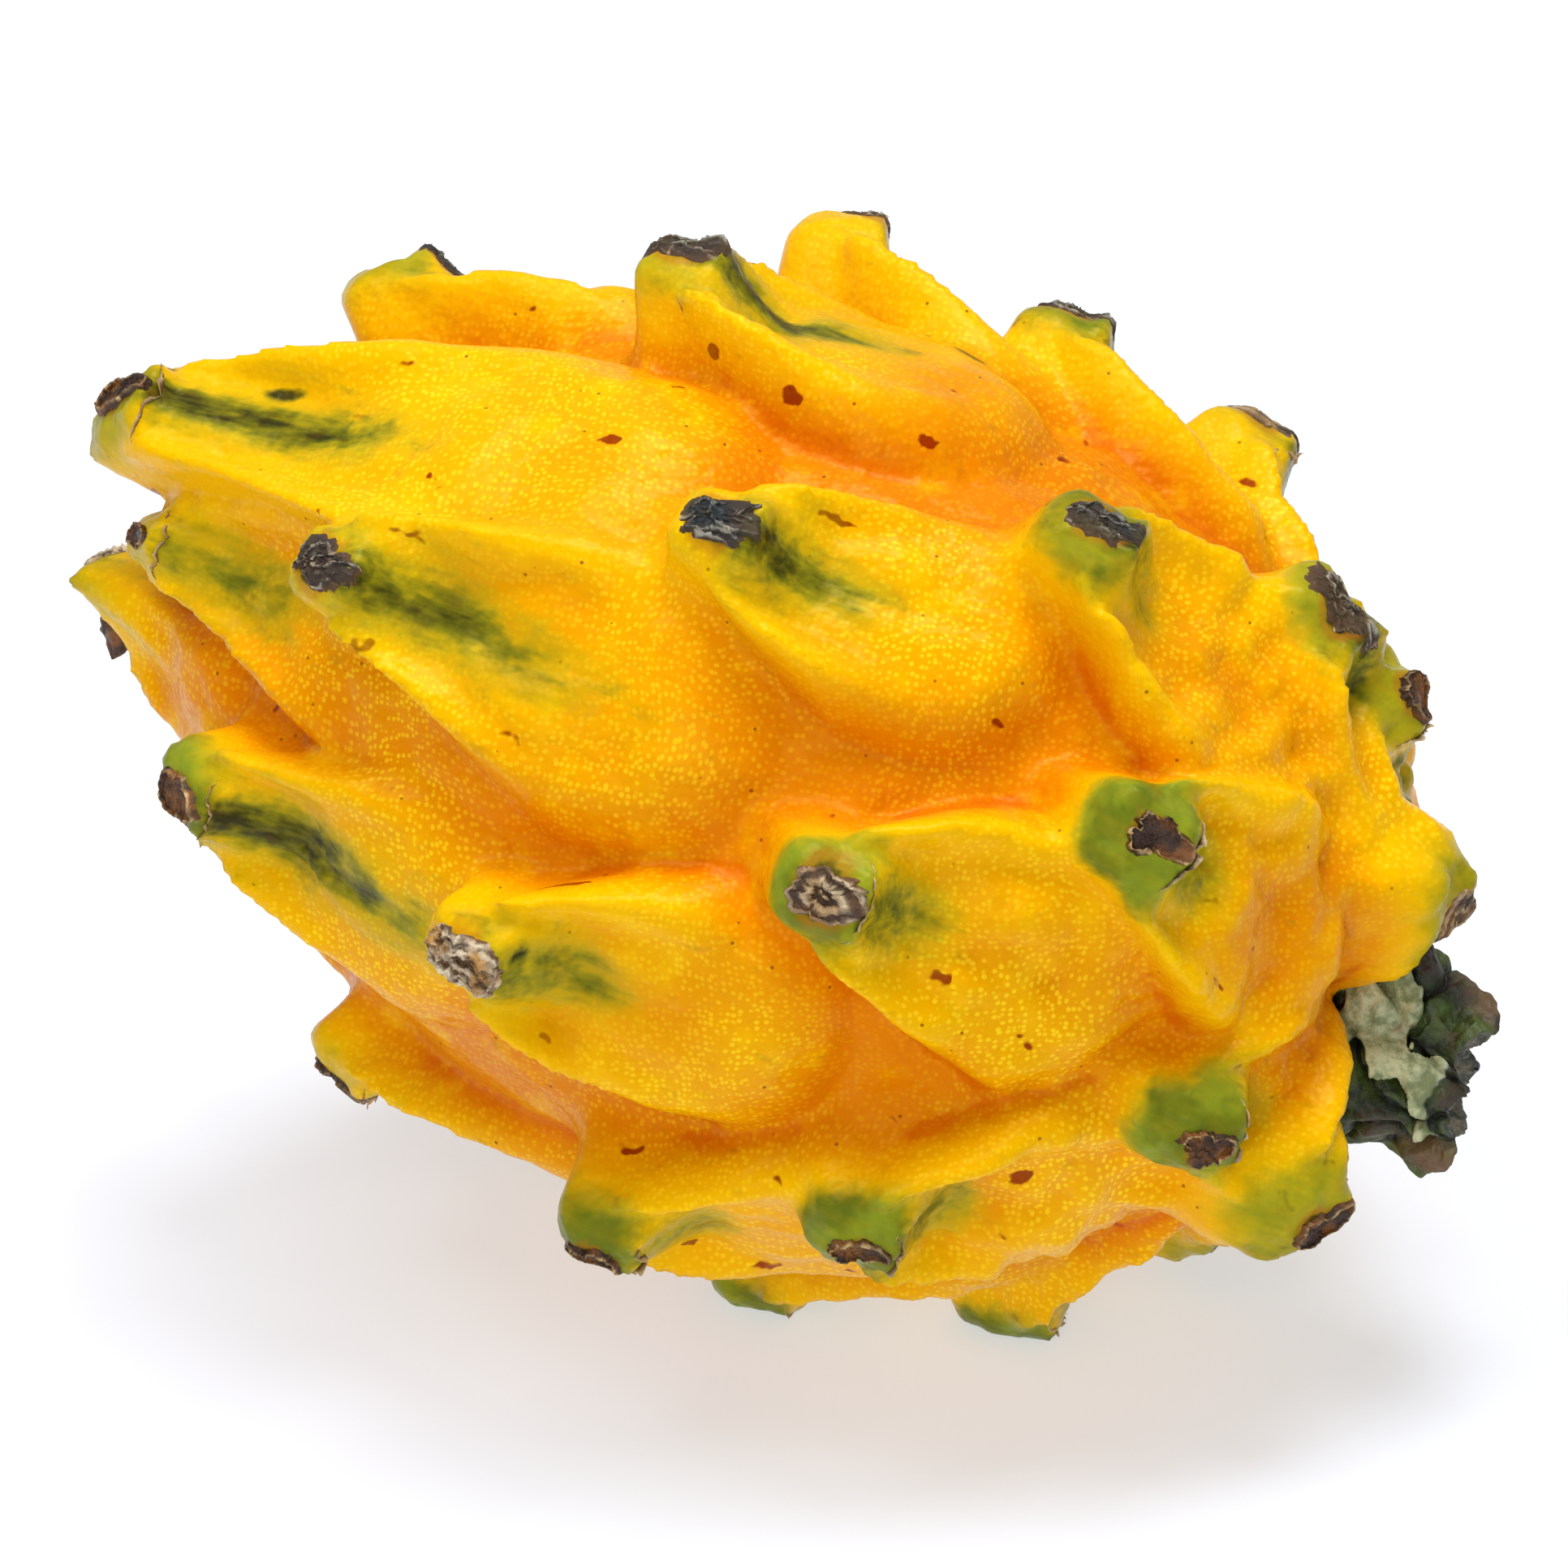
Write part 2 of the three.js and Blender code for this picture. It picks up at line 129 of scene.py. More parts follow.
# How each tubercle's tip looks: green round it, length and strength of the dark streak behind
# it, size and kind of its scar, the scar's place behind the tip, and its tone from dark to pale
TIP_LOOKS = {
    -17: dict(green=0.3, streak=6, dark=0.9, scar=2.8, kind="cork"),
    -14: dict(green=0.6, streak=12, dark=0.5, scar=1.4, kind="hollow"),
    -11: dict(green=0.8, streak=15, dark=0.9, scar=2.0, kind="hollow"),
    -10: dict(green=1.0, streak=26, dark=1.0, scar=1.9, kind="hollow"),
    -8: dict(green=0.8, streak=9, dark=1.0, scar=2.6, kind="membrane", scar_at=4.0),
    -7: dict(green=0.6, streak=24, dark=0.8, scar=2.7, kind="membrane", tone=0.35),
    -6: dict(green=0.5, streak=6, dark=0.4, scar=1.7, kind="hollow"),
    -4: dict(green=0.7, streak=19, dark=1.0, scar=3.0, kind="membrane", tone=0.3),
    -3: dict(green=0.4, streak=12, dark=0.7, scar=3.2, kind="cork", tone=1.0),
    -1: dict(green=0.4, streak=6, dark=0.4, scar=2.2, kind="membrane", tone=0.6, scar_at=2.8),
    0: dict(green=0.4, streak=15, dark=1.0, scar=2.8, kind="membrane"),
    1: dict(green=1.0, streak=6, dark=0.4, scar=1.5, kind="hollow"),
    3: dict(green=0.9, streak=9, dark=0.8, scar=2.9, kind="membrane", tone=0.25),
    4: dict(green=1.0, streak=7, dark=0.7, scar=3.0, kind="coil"),
    5: dict(green=1.2, streak=8, dark=0.6, scar=1.5, kind="hollow"),
    7: dict(green=0.9, streak=8, dark=0.9, scar=2.5, kind="membrane", tone=0.2),
    8: dict(green=1.3, streak=7, dark=0.6, scar=1.5, kind="hollow"),
    10: dict(green=0.6, streak=5, dark=0.8, scar=3.0, kind="coil", tone=0.2),
    11: dict(green=1.3, streak=7, dark=0.5, scar=1.6, kind="hollow"),
    12: dict(green=1.2, streak=8, dark=0.4, scar=1.5, kind="hollow"),
    14: dict(green=0.9, streak=12, dark=1.0, scar=3.0, kind="membrane", tone=0.5),
    15: dict(green=1.2, streak=6, dark=0.5, scar=1.6, kind="hollow"),
    18: dict(green=0.8, streak=5, dark=0.6, scar=3.4, kind="coil", tone=0.5),
}
USUAL_TIP = dict(green=0.8, streak=10, dark=0.6, scar=1.7, kind="hollow")
KIND_TONES = {"membrane": 0.1, "coil": 0.6, "hollow": 0.5, "cork": 0.6}
KIND_WARMTH = {"membrane": 0.0, "coil": 0.5, "hollow": 1.0, "cork": 0.3}

SKIN_MASKS = ("green", "dark", "scar", "pad", "crease", "height")

# Single blemishes: place in the part's frame in millimetres, direction, half length and half
# width, and the mask that each goes into
BLEMISHES = [
    ((-37.3, -6.4, 69.4), (1, 0, 0.1), 1.7, 0.6, "dark"),
    ((10.2, 10.7, 71.2), (1, 0, -0.2), 1.6, 0.9, "dark"),
    ((-9.6, -38.0, 43.2), (1, 0, 0), 0.8, 0.7, "dark"),
    ((37.9, -22.5, 38.4), (1.0, 3.6, -6.3), 3.0, 0.5, "fleck"),
    ((-7.5, -34.0, 47.0), (1, 0, 0.2), 2.2, 0.5, "fleck"),
    ((-10.1, -13.7, 72.4), (1, 0, -0.2), 1.0, 0.5, "fleck"),
    ((-5.5, -2.9, 75.3), (0.2, 0, -1), 0.7, 0.6, "fleck"),
    ((1.3, -5.7, 73.8), (1, 0, -0.4), 0.9, 0.5, "fleck"),
    ((11.2, -5.0, 71.1), (1, 0.5, 0), 0.7, 0.5, "fleck"),
    ((24.8, -28.4, 25.2), (1, 0, 0.2), 1.0, 0.6, "fleck"),
    ((-0.8, -26.9, 14.8), (1, 0, -0.2), 1.5, 0.4, "fleck"),
]

# Skin puckered round each tip, and creases that run back from it
PUCKER_HEIGHT = 0.26
CREASES = 4
CREASE_SPREAD = 0.42
CREASE_HEIGHT = 0.30

# Height under which two tubercles count as alike when it is asked whose skin a place is
LOW_HEIGHT = 0.5

# Narrow crest of the wings, over the part's own relief
CREST_HEIGHT, CREST_SPREAD, INNER_DEPTH = 0.9, 0.085, 0.8

# Sharp back edge of each hood, behind its tip
LIP_AT, LIP_HEIGHT = 3.5, 0.75

# Heights of the fine relief: everywhere, more near the stem, more near the blossom end
LONG_FOLDS, LONG_FOLDS_STEM, LONG_FOLDS_BLOSSOM, LONG_FOLDS_PINCHED = 0.30, 0.45, 0.40, 0.35
CROSS_FOLDS, CROSS_FOLDS_STEM = 0.10, 1.0
FINE_WRINKLES, SOFT_DENTS, PAD_CREASE = 0.13, 0.9, 0.75

# Relief over the egg at which the skin's colour is at its palest; lower skin is painted darker
# orange, as painted shade in the valleys
FULL_HEIGHT = 9.0


def smooth(low, high, value):
    t = np.clip((value - low) / (high - low), 0, 1)
    return t * t * (3 - 2 * t)


def random_source(seed):
    """The same seeded draw as the part's source: numbers from -1 to 1."""
    full = 0xFFFFFFFF
    state = seed
    while True:
        state = (state + 0x6D2B79F5) & full
        t = ((state ^ (state >> 15)) * (1 | state)) & full
        t = ((t + (((t ^ (t >> 7)) * (61 | t)) & full)) & full) ^ t
        yield ((t ^ (t >> 14)) & full) / 2147483648 - 1


def egg_outline():
    u = np.linspace(0, math.pi, 601)
    s = -np.cos(u)
    station = BODY_LENGTH / 2 * s
    radius = BODY_RADIUS * np.clip(np.sin(u), 0, 1) ** POINTEDNESS * (1 + FATTER_AT_STEM * s)
    radius[-1] = 0
    steps = np.hypot(np.diff(station), np.diff(radius))
    return np.concatenate([[0], np.cumsum(steps)]), station, radius


EGG_ALONG, EGG_STATION, EGG_RADIUS = egg_outline()
EGG_TOTAL = float(EGG_ALONG[-1])


def list_tubercles():
    draw = random_source(RANDOM_SEED)
    found = []
    for n in range(FIRST_TUBERCLE, LAST_TUBERCLE + 1):
        own = DEPARTURES.get(n, {})
        r = [next(draw) for _ in range(5)]
        station = MIDDLE_STATION + STATION_STEP * n + own.get("shift", 0)
        station = min(max(station, BLOSSOM_LIMIT), STEM_LIMIT)
        room = float(smooth(-3, END_ZONE - 3, BODY_LENGTH / 2 - abs(station)))
        size = SMALLEST_SIZE + (1 - SMALLEST_SIZE) * room
        longer = 1.15 if station < -15 else 1.0
        wrinkled = 1.0 + float(smooth(14, 34, station)) + 0.4 * float(smooth(-10, -35, station))
        tubercle = dict(
            n=n,
            station=station,
            along=float(np.interp(station, EGG_STATION, EGG_ALONG)),
            radius=float(np.interp(station, EGG_STATION, EGG_RADIUS)),
            angle=math.radians(MIDDLE_ANGLE_DEG + TURN_DEG * n + own.get("turn", 0)),
            pad=own.get("pad", (PAD_HEIGHT + 0.4 * r[0]) * size),
            nub=own.get("nub", (NUB_HEIGHT + 0.6 * r[1]) * (0.35 + 0.65 * size)),
            reach=own.get("reach", float(np.interp(station, REACH_STATIONS, REACHES))),
            length=own.get("length", (PAD_LENGTH + 1.5 * r[2]) * size * longer),
            half_width=own.get("half_width", (PAD_HALF_WIDTH + 0.8 * r[3]) * size),
            blunt=own.get("blunt", NUB_HALF_WIDTH),
            bend=1.6 * r[4],
            left_wing=1 + 0.3 * r[4],
            size=size,
            rnd=r,
            scar_at=0.8,
            wrinkled=wrinkled,
        )
        tubercle.update(TIP_LOOKS.get(n, USUAL_TIP))
        tubercle.setdefault("tone", KIND_TONES[tubercle["kind"]])
        found.append(tubercle)
    return found


TUBERCLES = list_tubercles()


def local_place(tubercle, along, angle, radius):
    """Distance from the tip towards the stem, and across, in millimetres along the skin."""
    x = along - tubercle["along"]
    turn = (angle - tubercle["angle"] + math.pi) % (2 * math.pi) - math.pi
    y = turn * np.minimum(radius, tubercle["radius"] + 3)
    return x, y + tubercle["bend"] * smooth(2, 16, x)


def tubercle_height(tb, x, y):
    length, wide, blunt = tb["length"], tb["half_width"], tb["blunt"]
    t = (x + 1.5) / (length + 1.5)
    t_in = np.clip(t, 0, 1)
    opening = np.sin(np.clip(t_in / PAD_WIDEST_AT, 0, 1) * math.pi / 2)
    width_here = blunt + (wide - blunt) * opening**1.3
    past = (t - PAD_WIDEST_AT) / (1 - PAD_WIDEST_AT)
    side = np.where(past < 0, np.abs(y) / width_here, np.hypot(y / wide, past))
    front = np.where(x < 0, np.exp(-(np.abs(x) / (blunt * FRONT_LENGTH)) ** FRONT_POWER), 1.0)
    pad = tb["pad"] * (1 - smooth(PAD_EDGE_FROM, PAD_EDGE_TO, side)) * (1 - 0.35 * t_in) * front
    cap = (1 - smooth(NUB_FLAT, NUB_FLAT + NUB_BACK_SLOPE, x)) * np.exp(-((np.abs(y) / blunt) ** 3))
    wing_end = WING_LENGTH * length * np.where(y > 0, tb["left_wing"], 2 - tb["left_wing"])
    wing_fall = np.clip(1 - x / wing_end, 0, 1) ** 1.2 * smooth(-1, 2, x)
    wing = WING_SHARE * wing_fall * np.exp(-(((side - WING_PLACE) / WING_SPREAD) ** 2))
    nub = tb["nub"] * front * np.maximum(cap, wing)
    groove = GROOVE_DEPTH * np.exp(-((y / 1.6) ** 2)) * smooth(3, 7, x) * (1 - smooth(10, 17, x))
    height = pad + nub - groove * (tb["pad"] / FULL_PAD)
    return np.maximum(height, 0), side, t


def lay_at(x, up, side):
    """A place along, above and beside the fruit axis, turned into the lying pose."""
    return np.stack(
        [
            x * math.cos(PITCH) + up * math.sin(PITCH),
            -side,
            -x * math.sin(PITCH) + up * math.cos(PITCH),
        ],
        -1,
    )


def lay(x, r, angle):
    return lay_at(x, r * np.cos(angle), r * np.sin(angle))


def egg_frame(along):
    near = 0.2
    before = np.clip(along - near, 0, EGG_TOTAL)
    after = np.clip(along + near, 0, EGG_TOTAL)
    dx = np.interp(after, EGG_ALONG, EGG_STATION) - np.interp(before, EGG_ALONG, EGG_STATION)
    dr = np.interp(after, EGG_ALONG, EGG_RADIUS) - np.interp(before, EGG_ALONG, EGG_RADIUS)
    slope = np.hypot(dx, dr)
    station = np.interp(along, EGG_ALONG, EGG_STATION)
    radius = np.interp(along, EGG_ALONG, EGG_RADIUS)
    return station, radius, dx / slope, dr / slope


def skin(along, angle, detail=None, masks=None):
    """Places of the skin, laid down; detail adds a fine height over the part's own relief."""
    station, radius, tx, tr = egg_frame(along)
    height_sum = np.zeros_like(along)
    lean_sum = np.zeros_like(along)
    highest = np.zeros_like(along)
    for tb in TUBERCLES:
        x, y = local_place(tb, along, angle, radius)
        here = (x > -12) & (x < tb["length"] + 8)
        h, _, _ = tubercle_height(tb, x[here], y[here])
        weight = h**BLEND_POWER
        share = np.clip(h / (tb["pad"] + tb["nub"]) / LEAN_FROM, 0, 1)
        height_sum[here] += weight
        lean_sum[here] += weight * tb["reach"] * share**LEAN_POWER
        highest[here] = np.maximum(highest[here], h)
    if masks is not None:
        for tb in TUBERCLES:
            x, y = local_place(tb, along, angle, radius)
            here = (x > -12) & (x < tb["length"] + 8)
            note_masks(masks, tb, here, x[here], y[here], highest[here])
    height = height_sum ** (1 / BLEND_POWER)
    lean = lean_sum / np.maximum(height_sum, 1e-12)
    stem_hollow = np.where(station > 0, np.exp(-((radius / STEM_HOLLOW_RADIUS) ** 2.4)), 0)
    blossom_hollow = np.where(station < 0, np.exp(-((radius / BLOSSOM_HOLLOW_RADIUS) ** 2.4)), 0)
    outside = (1 - stem_hollow) * (1 - blossom_hollow)
    fold_range = smooth(20, 40, station) * smooth(4, 10, radius)
    fold_wave = np.sin(FOLD_COUNT * angle + 2 * np.sin(3 * angle) + 0.12 * station)
    fold = FOLD_HEIGHT * fold_range * fold_wave * (0.6 + 0.4 * np.sin(5 * angle + 1))
    hollow = STEM_HOLLOW_DEPTH * stem_hollow + BLOSSOM_HOLLOW_DEPTH * blossom_hollow
    raised = height * outside - hollow + fold
    if detail is not None:
        raised = raised + detail(station, radius, angle, height, masks)
    lean = lean * outside
    x = station - tr * raised - tx * lean
    r = np.maximum(radius + tx * raised - tr * lean, 0.05)
    return lay(x, r, angle)


def raise_mask(mask, here, values):
    mask[here] = np.maximum(mask[here], values)


def note_masks(masks, tb, here, x, y, highest):
    """Where the skin is green, dark along the midrib, creased, and pad rather than valley."""
    h, side, t = tubercle_height(tb, x, y)
    own = smooth(0.35, 0.9, (h + LOW_HEIGHT) / (highest + LOW_HEIGHT))
    ragged = masks["ragged"][here]
    x_scar = x - tb["scar_at"]
    share = h / (tb["pad"] + tb["nub"])
    reach = np.hypot(x_scar * np.where(x_scar < 0, 0.62, 1.15), y)
    cap = smooth(0.30, 0.95, share + 0.12 * ragged) * (1 - smooth(2.4, 8.0, reach + 0.8 * ragged))
    cap = cap * (1 - 0.75 * smooth(LIP_AT, LIP_AT + 0.9, x))
    green = np.clip(cap * tb["green"], 0, 1.2)
    streak_from = LIP_AT - 1.2 if tb["kind"] in ("hollow", "coil") else 0
    far = (x_scar - streak_from) / tb["streak"]
    along_streak = 1 - smooth(0.35, 1.15, far + 0.15 * ragged)
    streak_width = 0.9 + 1.3 * np.clip(1 - far, 0, 1) + 0.5 * ragged
    behind = smooth(-1, 1.5, x_scar - streak_from)
    sway = y + 0.9 * ragged + tb["rnd"][3] * 1.2 * np.clip(far, 0, 1)
    core = np.exp(-((sway / streak_width) ** 2)) * along_streak * behind
    halo = np.exp(-((sway / (streak_width * 2.3)) ** 2)) * along_streak * behind
    raise_mask(masks["green"], here, own * np.maximum(green, 0.75 * halo))
    near = 1 - smooth(0.12, 0.7, far)
    raise_mask(masks["dark"], here, own * core * tb["dark"] * (0.25 + 0.75 * near))
    from_scar = np.hypot(x_scar, y)
    under = 1 - smooth(tb["scar"] * 0.3, tb["scar"] * 0.95, from_scar + 0.7 * ragged)
    raise_mask(masks["scar"], here, under)
    inside = (1 - smooth(0.5, 1.1, side)) * smooth(-0.05, 0.1, t)
    raise_mask(masks["pad"], here, inside)
    side_here = side + 0.05 * ragged
    edge = np.exp(-(((side_here - 1.02) / 0.085) ** 2)) * smooth(0.03, 0.15, t)
    edge = edge * (1 - 0.45 * smooth(0.5, 0.95, t)) * (0.65 + 0.35 * (tb["rnd"][0] > -0.3))
    raise_mask(masks["crease"], here, own * edge)
    wing_end = WING_LENGTH * tb["length"]
    crest = np.exp(-(((side_here - WING_PLACE) / CREST_SPREAD) ** 2))
    inner = np.exp(-(((side_here - WING_PLACE + 0.24) / CREST_SPREAD) ** 2))
    wing = np.clip(1 - x / wing_end, 0, 1) * smooth(1, 4, x) * tb["size"]
    masks["fold"][here] += own * (CREST_HEIGHT * crest - INNER_DEPTH * inner) * wing
    ledge = np.exp(-(((x - LIP_AT) / 0.8) ** 2)) - 1.3 * np.exp(-(((x - LIP_AT - 1.8) / 1.0) ** 2))
    across_lip = np.exp(-((np.abs(y) / (tb["blunt"] * 0.95)) ** 4)) * tb["size"]
    masks["fold"][here] += own * LIP_HEIGHT * ledge * across_lip
    masks["fold"][here] += own * tip_folds(tb, x_scar, y, from_scar, ragged)


def tip_folds(tb, x, y, from_scar, ragged):
    """Skin puckered round the dried tip, and creases that run back from it over the pad."""
    r = tb["rnd"]
    turn = np.arctan2(y, x)
    pucker = np.sin((6 + round(2 * r[1])) * turn + 6 * r[2] + 1.4 * ragged)
    window = np.exp(-(((from_scar - tb["scar"] - 1.2) / 1.7) ** 2))
    folds = PUCKER_HEIGHT * pucker * window * (0.5 + 0.5 * tb["size"])
    for k in range(CREASES):
        slope = CREASE_SPREAD * (k - (CREASES - 1) / 2) + 0.28 * math.sin(9 * r[3] + 2.3 * k)
        bend = 0.018 * math.sin(5 * r[4] + 1.7 * k)
        length = (9.5 + 5.5 * math.sin(4 * r[0] + 2.9 * k)) * tb["size"]
        line = slope * x + bend * x * x + 0.5 * ragged
        away = np.abs(y - line) / math.sqrt(1 + slope * slope)
        width = 0.55 + 0.2 * math.sin(3 * r[2] + k)
        banks = 0.55 * np.exp(-(((away - 1.7 * width) / width) ** 2))
        profile = banks - np.exp(-((away / width) ** 2))
        span = smooth(1.2, 3.8, x) * (1 - smooth(length * 0.5, length, x))
        depth = CREASE_HEIGHT + 0.2 * math.sin(7 * r[1] + k)
        folds = folds + tb["wrinkled"] * depth * profile * span
    return folds


def noise_on(places, scale, seed, octaves=3):
    """Fractal noise at rows of places, in units of scale."""
    shift = Vector((seed * 17.3, seed * 5.7, seed * 11.1))
    flat = places.reshape(-1, 3) / scale
    values = [noise.fractal(Vector(p) + shift, 0.9, 2.0, octaves) for p in flat]
    return np.array(values).reshape(places.shape[:-1])


def noise_grid(rows, columns, along_scale, around_scale, seed, octaves=3):
    """Noise on a grid of the egg four times as coarse, interpolated to rows by columns."""
    few_rows, few_columns = rows // 4 + 1, columns // 4
    along = np.linspace(0, EGG_TOTAL, few_rows)
    angle = np.linspace(0, 2 * math.pi, few_columns, endpoint=False)
    a, th = np.meshgrid(along, angle, indexing="ij")
    r = np.interp(a, EGG_ALONG, EGG_RADIUS)
    across = [r * np.cos(th) / around_scale, r * np.sin(th) / around_scale]
    places = np.stack([a / along_scale, *across], -1)
    coarse = noise_on(places, 1.0, seed, octaves)
    coarse = np.concatenate([coarse, coarse[:, :1]], 1)
    u = np.linspace(0, few_rows - 1, rows)
    v = np.linspace(0, few_columns, columns, endpoint=False)
    i = np.minimum(u.astype(int), few_rows - 2)
    j = np.minimum(v.astype(int), few_columns - 1)
    fu = (u - i)[:, None]
    fv = (v - j)[None, :]
    i, j = i[:, None], j[None, :]
    top = coarse[i, j] * (1 - fv) + coarse[i, j + 1] * fv
    low = coarse[i + 1, j] * (1 - fv) + coarse[i + 1, j + 1] * fv
    return top * (1 - fu) + low * fu


def closed_rings(grid):
    """Vertices and faces of a body made of rings of places and closed by a point at each end."""
    rows, columns = grid.shape[:2]
    verts = np.concatenate([grid[0].mean(0)[None], grid.reshape(-1, 3), grid[-1].mean(0)[None]])
    last = len(verts) - 1
    j = np.arange(columns)
    k = (j + 1) % columns
    caps = [(0, 1 + b, 1 + a) for a, b in zip(j, k)]
    base = 1 + (rows - 1) * columns
    caps += [(last, base + a, base + b) for a, b in zip(j, k)]
    i = np.arange(rows - 1)[:, None]
    a = 1 + i * columns + j[None]
    b = 1 + i * columns + k[None]
    quads = np.stack([a, b, b + columns, a + columns], -1).reshape(-1, 4)
    return verts, caps + quads.tolist()


def mesh_object(name, verts, faces):
    mesh = bpy.data.meshes.new(name)
    mesh.from_pydata([tuple(v) for v in verts], [], [tuple(f) for f in faces])
    mesh.polygons.foreach_set("use_smooth", [True] * len(mesh.polygons))
    piece = bpy.data.objects.new(name, mesh)
    bpy.context.scene.collection.objects.link(piece)
    return piece


def set_attribute(mesh, name, values):
    layer = mesh.attributes.new(name, "FLOAT", "POINT")
    layer.data.foreach_set("value", np.asarray(values, dtype=np.float32))


# Where the part's own frame puts the fruit: the coarse grid is rebuilt and its box compared
def coarse_grid():
    along = EGG_TOTAL * np.arange(1, COARSE_ROWS) / COARSE_ROWS
    angle = 2 * math.pi * np.arange(COARSE_COLUMNS) / COARSE_COLUMNS
    a, th = np.meshgrid(along, angle, indexing="ij")
    return skin(a, th)


coarse = coarse_grid()
ground = coarse[..., 2].min() + FLAT_DEPTH
cad_low = np.array(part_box("fruit")[0]) * 1000
OFFSET = np.array([cad_low[0] - coarse[..., 0].min(), cad_low[1] - coarse[..., 1].min(), -ground])


def placed(points):
    """Millimetres in the fruit's coordinates to metres in the part's frame, over the ground."""
    out = points + OFFSET
    out[..., 2] = np.maximum(out[..., 2], 0)
    return out * MM


# The fine skin
rows_along = np.linspace(0, EGG_TOTAL, FINE_ROWS + 2)[1:-1]
columns_angle = np.linspace(0, 2 * math.pi, FINE_COLUMNS, endpoint=False)
ALONG, ANGLE = np.meshgrid(rows_along, columns_angle, indexing="ij")
shape = ALONG.shape
masks = {name: np.zeros(shape) for name in SKIN_MASKS + ("fold",)}
masks["ragged"] = noise_grid(*shape, 3.0, 2.2, 1, 4)
wrinkle_long = noise_grid(*shape, 10.0, 2.6, 2, 2)
wrinkle_fine = noise_grid(*shape, 2.6, 1.1, 3, 2)
lumps = noise_grid(*shape, 8.0, 7.0, 4, 2)
cross_folds = noise_grid(*shape, 4.4, 6.0, 5, 2)


def pillows(field):
    """Rounded folds with crisp furrows between them, where the field passes through nought."""
    return np.sqrt(np.minimum(np.abs(field) / 0.4, 1)) - 0.75


def fine_detail(station, radius, angle, height, masks):
    """Wrinkles along the fruit, creases beside the pads, folds at the tips and soft dents."""
    near_stem = smooth(8, 34, station)
    near_blossom = smooth(-15, -38, station)
    long_folds = pillows(wrinkle_long)
    pinch = np.maximum(masks["crease"], masks["scar"])
    at_ends = LONG_FOLDS_STEM * near_stem + LONG_FOLDS_BLOSSOM * near_blossom
    detail = (LONG_FOLDS + at_ends + LONG_FOLDS_PINCHED * pinch) * long_folds
    detail = detail + (CROSS_FOLDS + CROSS_FOLDS_STEM * near_stem) * pillows(cross_folds)
    more_fine = 0.6 + 1.4 * near_stem + 1.5 * masks["scar"]
    detail = detail + FINE_WRINKLES * wrinkle_fine * more_fine
    detail = detail + SOFT_DENTS * lumps * (0.7 + 0.7 * near_stem)
    detail = detail + masks["fold"] - PAD_CREASE * masks["crease"]
    # Relief for the painted shade: the lower the skin lies, the darker orange it is painted
    masks["height"][:] = np.clip((height + detail) / FULL_HEIGHT, 0, 1)
    return detail * smooth(1.0, 5.0, radius)


fine_places = placed(skin(ALONG, ANGLE, fine_detail, masks))
dense = mesh_object("dense", *closed_rings(fine_places))
remesh = dense.modifiers.new("even", "REMESH")
remesh.mode = "VOXEL"
remesh.voxel_size = VOXEL
remesh.use_smooth_shade = True
shown = bpy.data.meshes.new_from_object(dense.evaluated_get(bpy.context.evaluated_depsgraph_get()))
fruit = bpy.data.objects.new("pitahaya_skin", shown)
bpy.context.scene.collection.objects.link(fruit)
bpy.data.objects.remove(dense)


def tree_of(places):
    tree = kdtree.KDTree(len(places))
    for k, place in enumerate(places):
        tree.insert(place, k)
    tree.balance()
    return tree


# The masks moved from the fine grid to the even mesh, then the single blemishes
tree = tree_of(fine_places.reshape(-1, 3))
nearest = np.array([tree.find(v.co)[1] for v in shown.vertices])
skin_values = {name: np.clip(masks[name], 0, 1).reshape(-1)[nearest] for name in SKIN_MASKS}
skin_values["fleck"] = np.zeros(len(nearest))
skin_mm = np.array([v.co for v in shown.vertices]) / MM
for place, direction, half_length, half_width, kind in BLEMISHES:
    away = skin_mm - np.array(place)
    direction = np.array(direction) / np.linalg.norm(direction)
    along_mark = away @ direction
    beside = np.linalg.norm(away - along_mark[:, None] * direction, axis=1)
    mark = 1 - smooth(0.5, 1.5, np.hypot(along_mark / half_length, beside / half_width))
    skin_values[kind] = np.maximum(skin_values[kind], mark)
for name, values in skin_values.items():
    set_attribute(shown, name, values)
shown.polygons.foreach_set("use_smooth", [True] * len(shown.polygons))


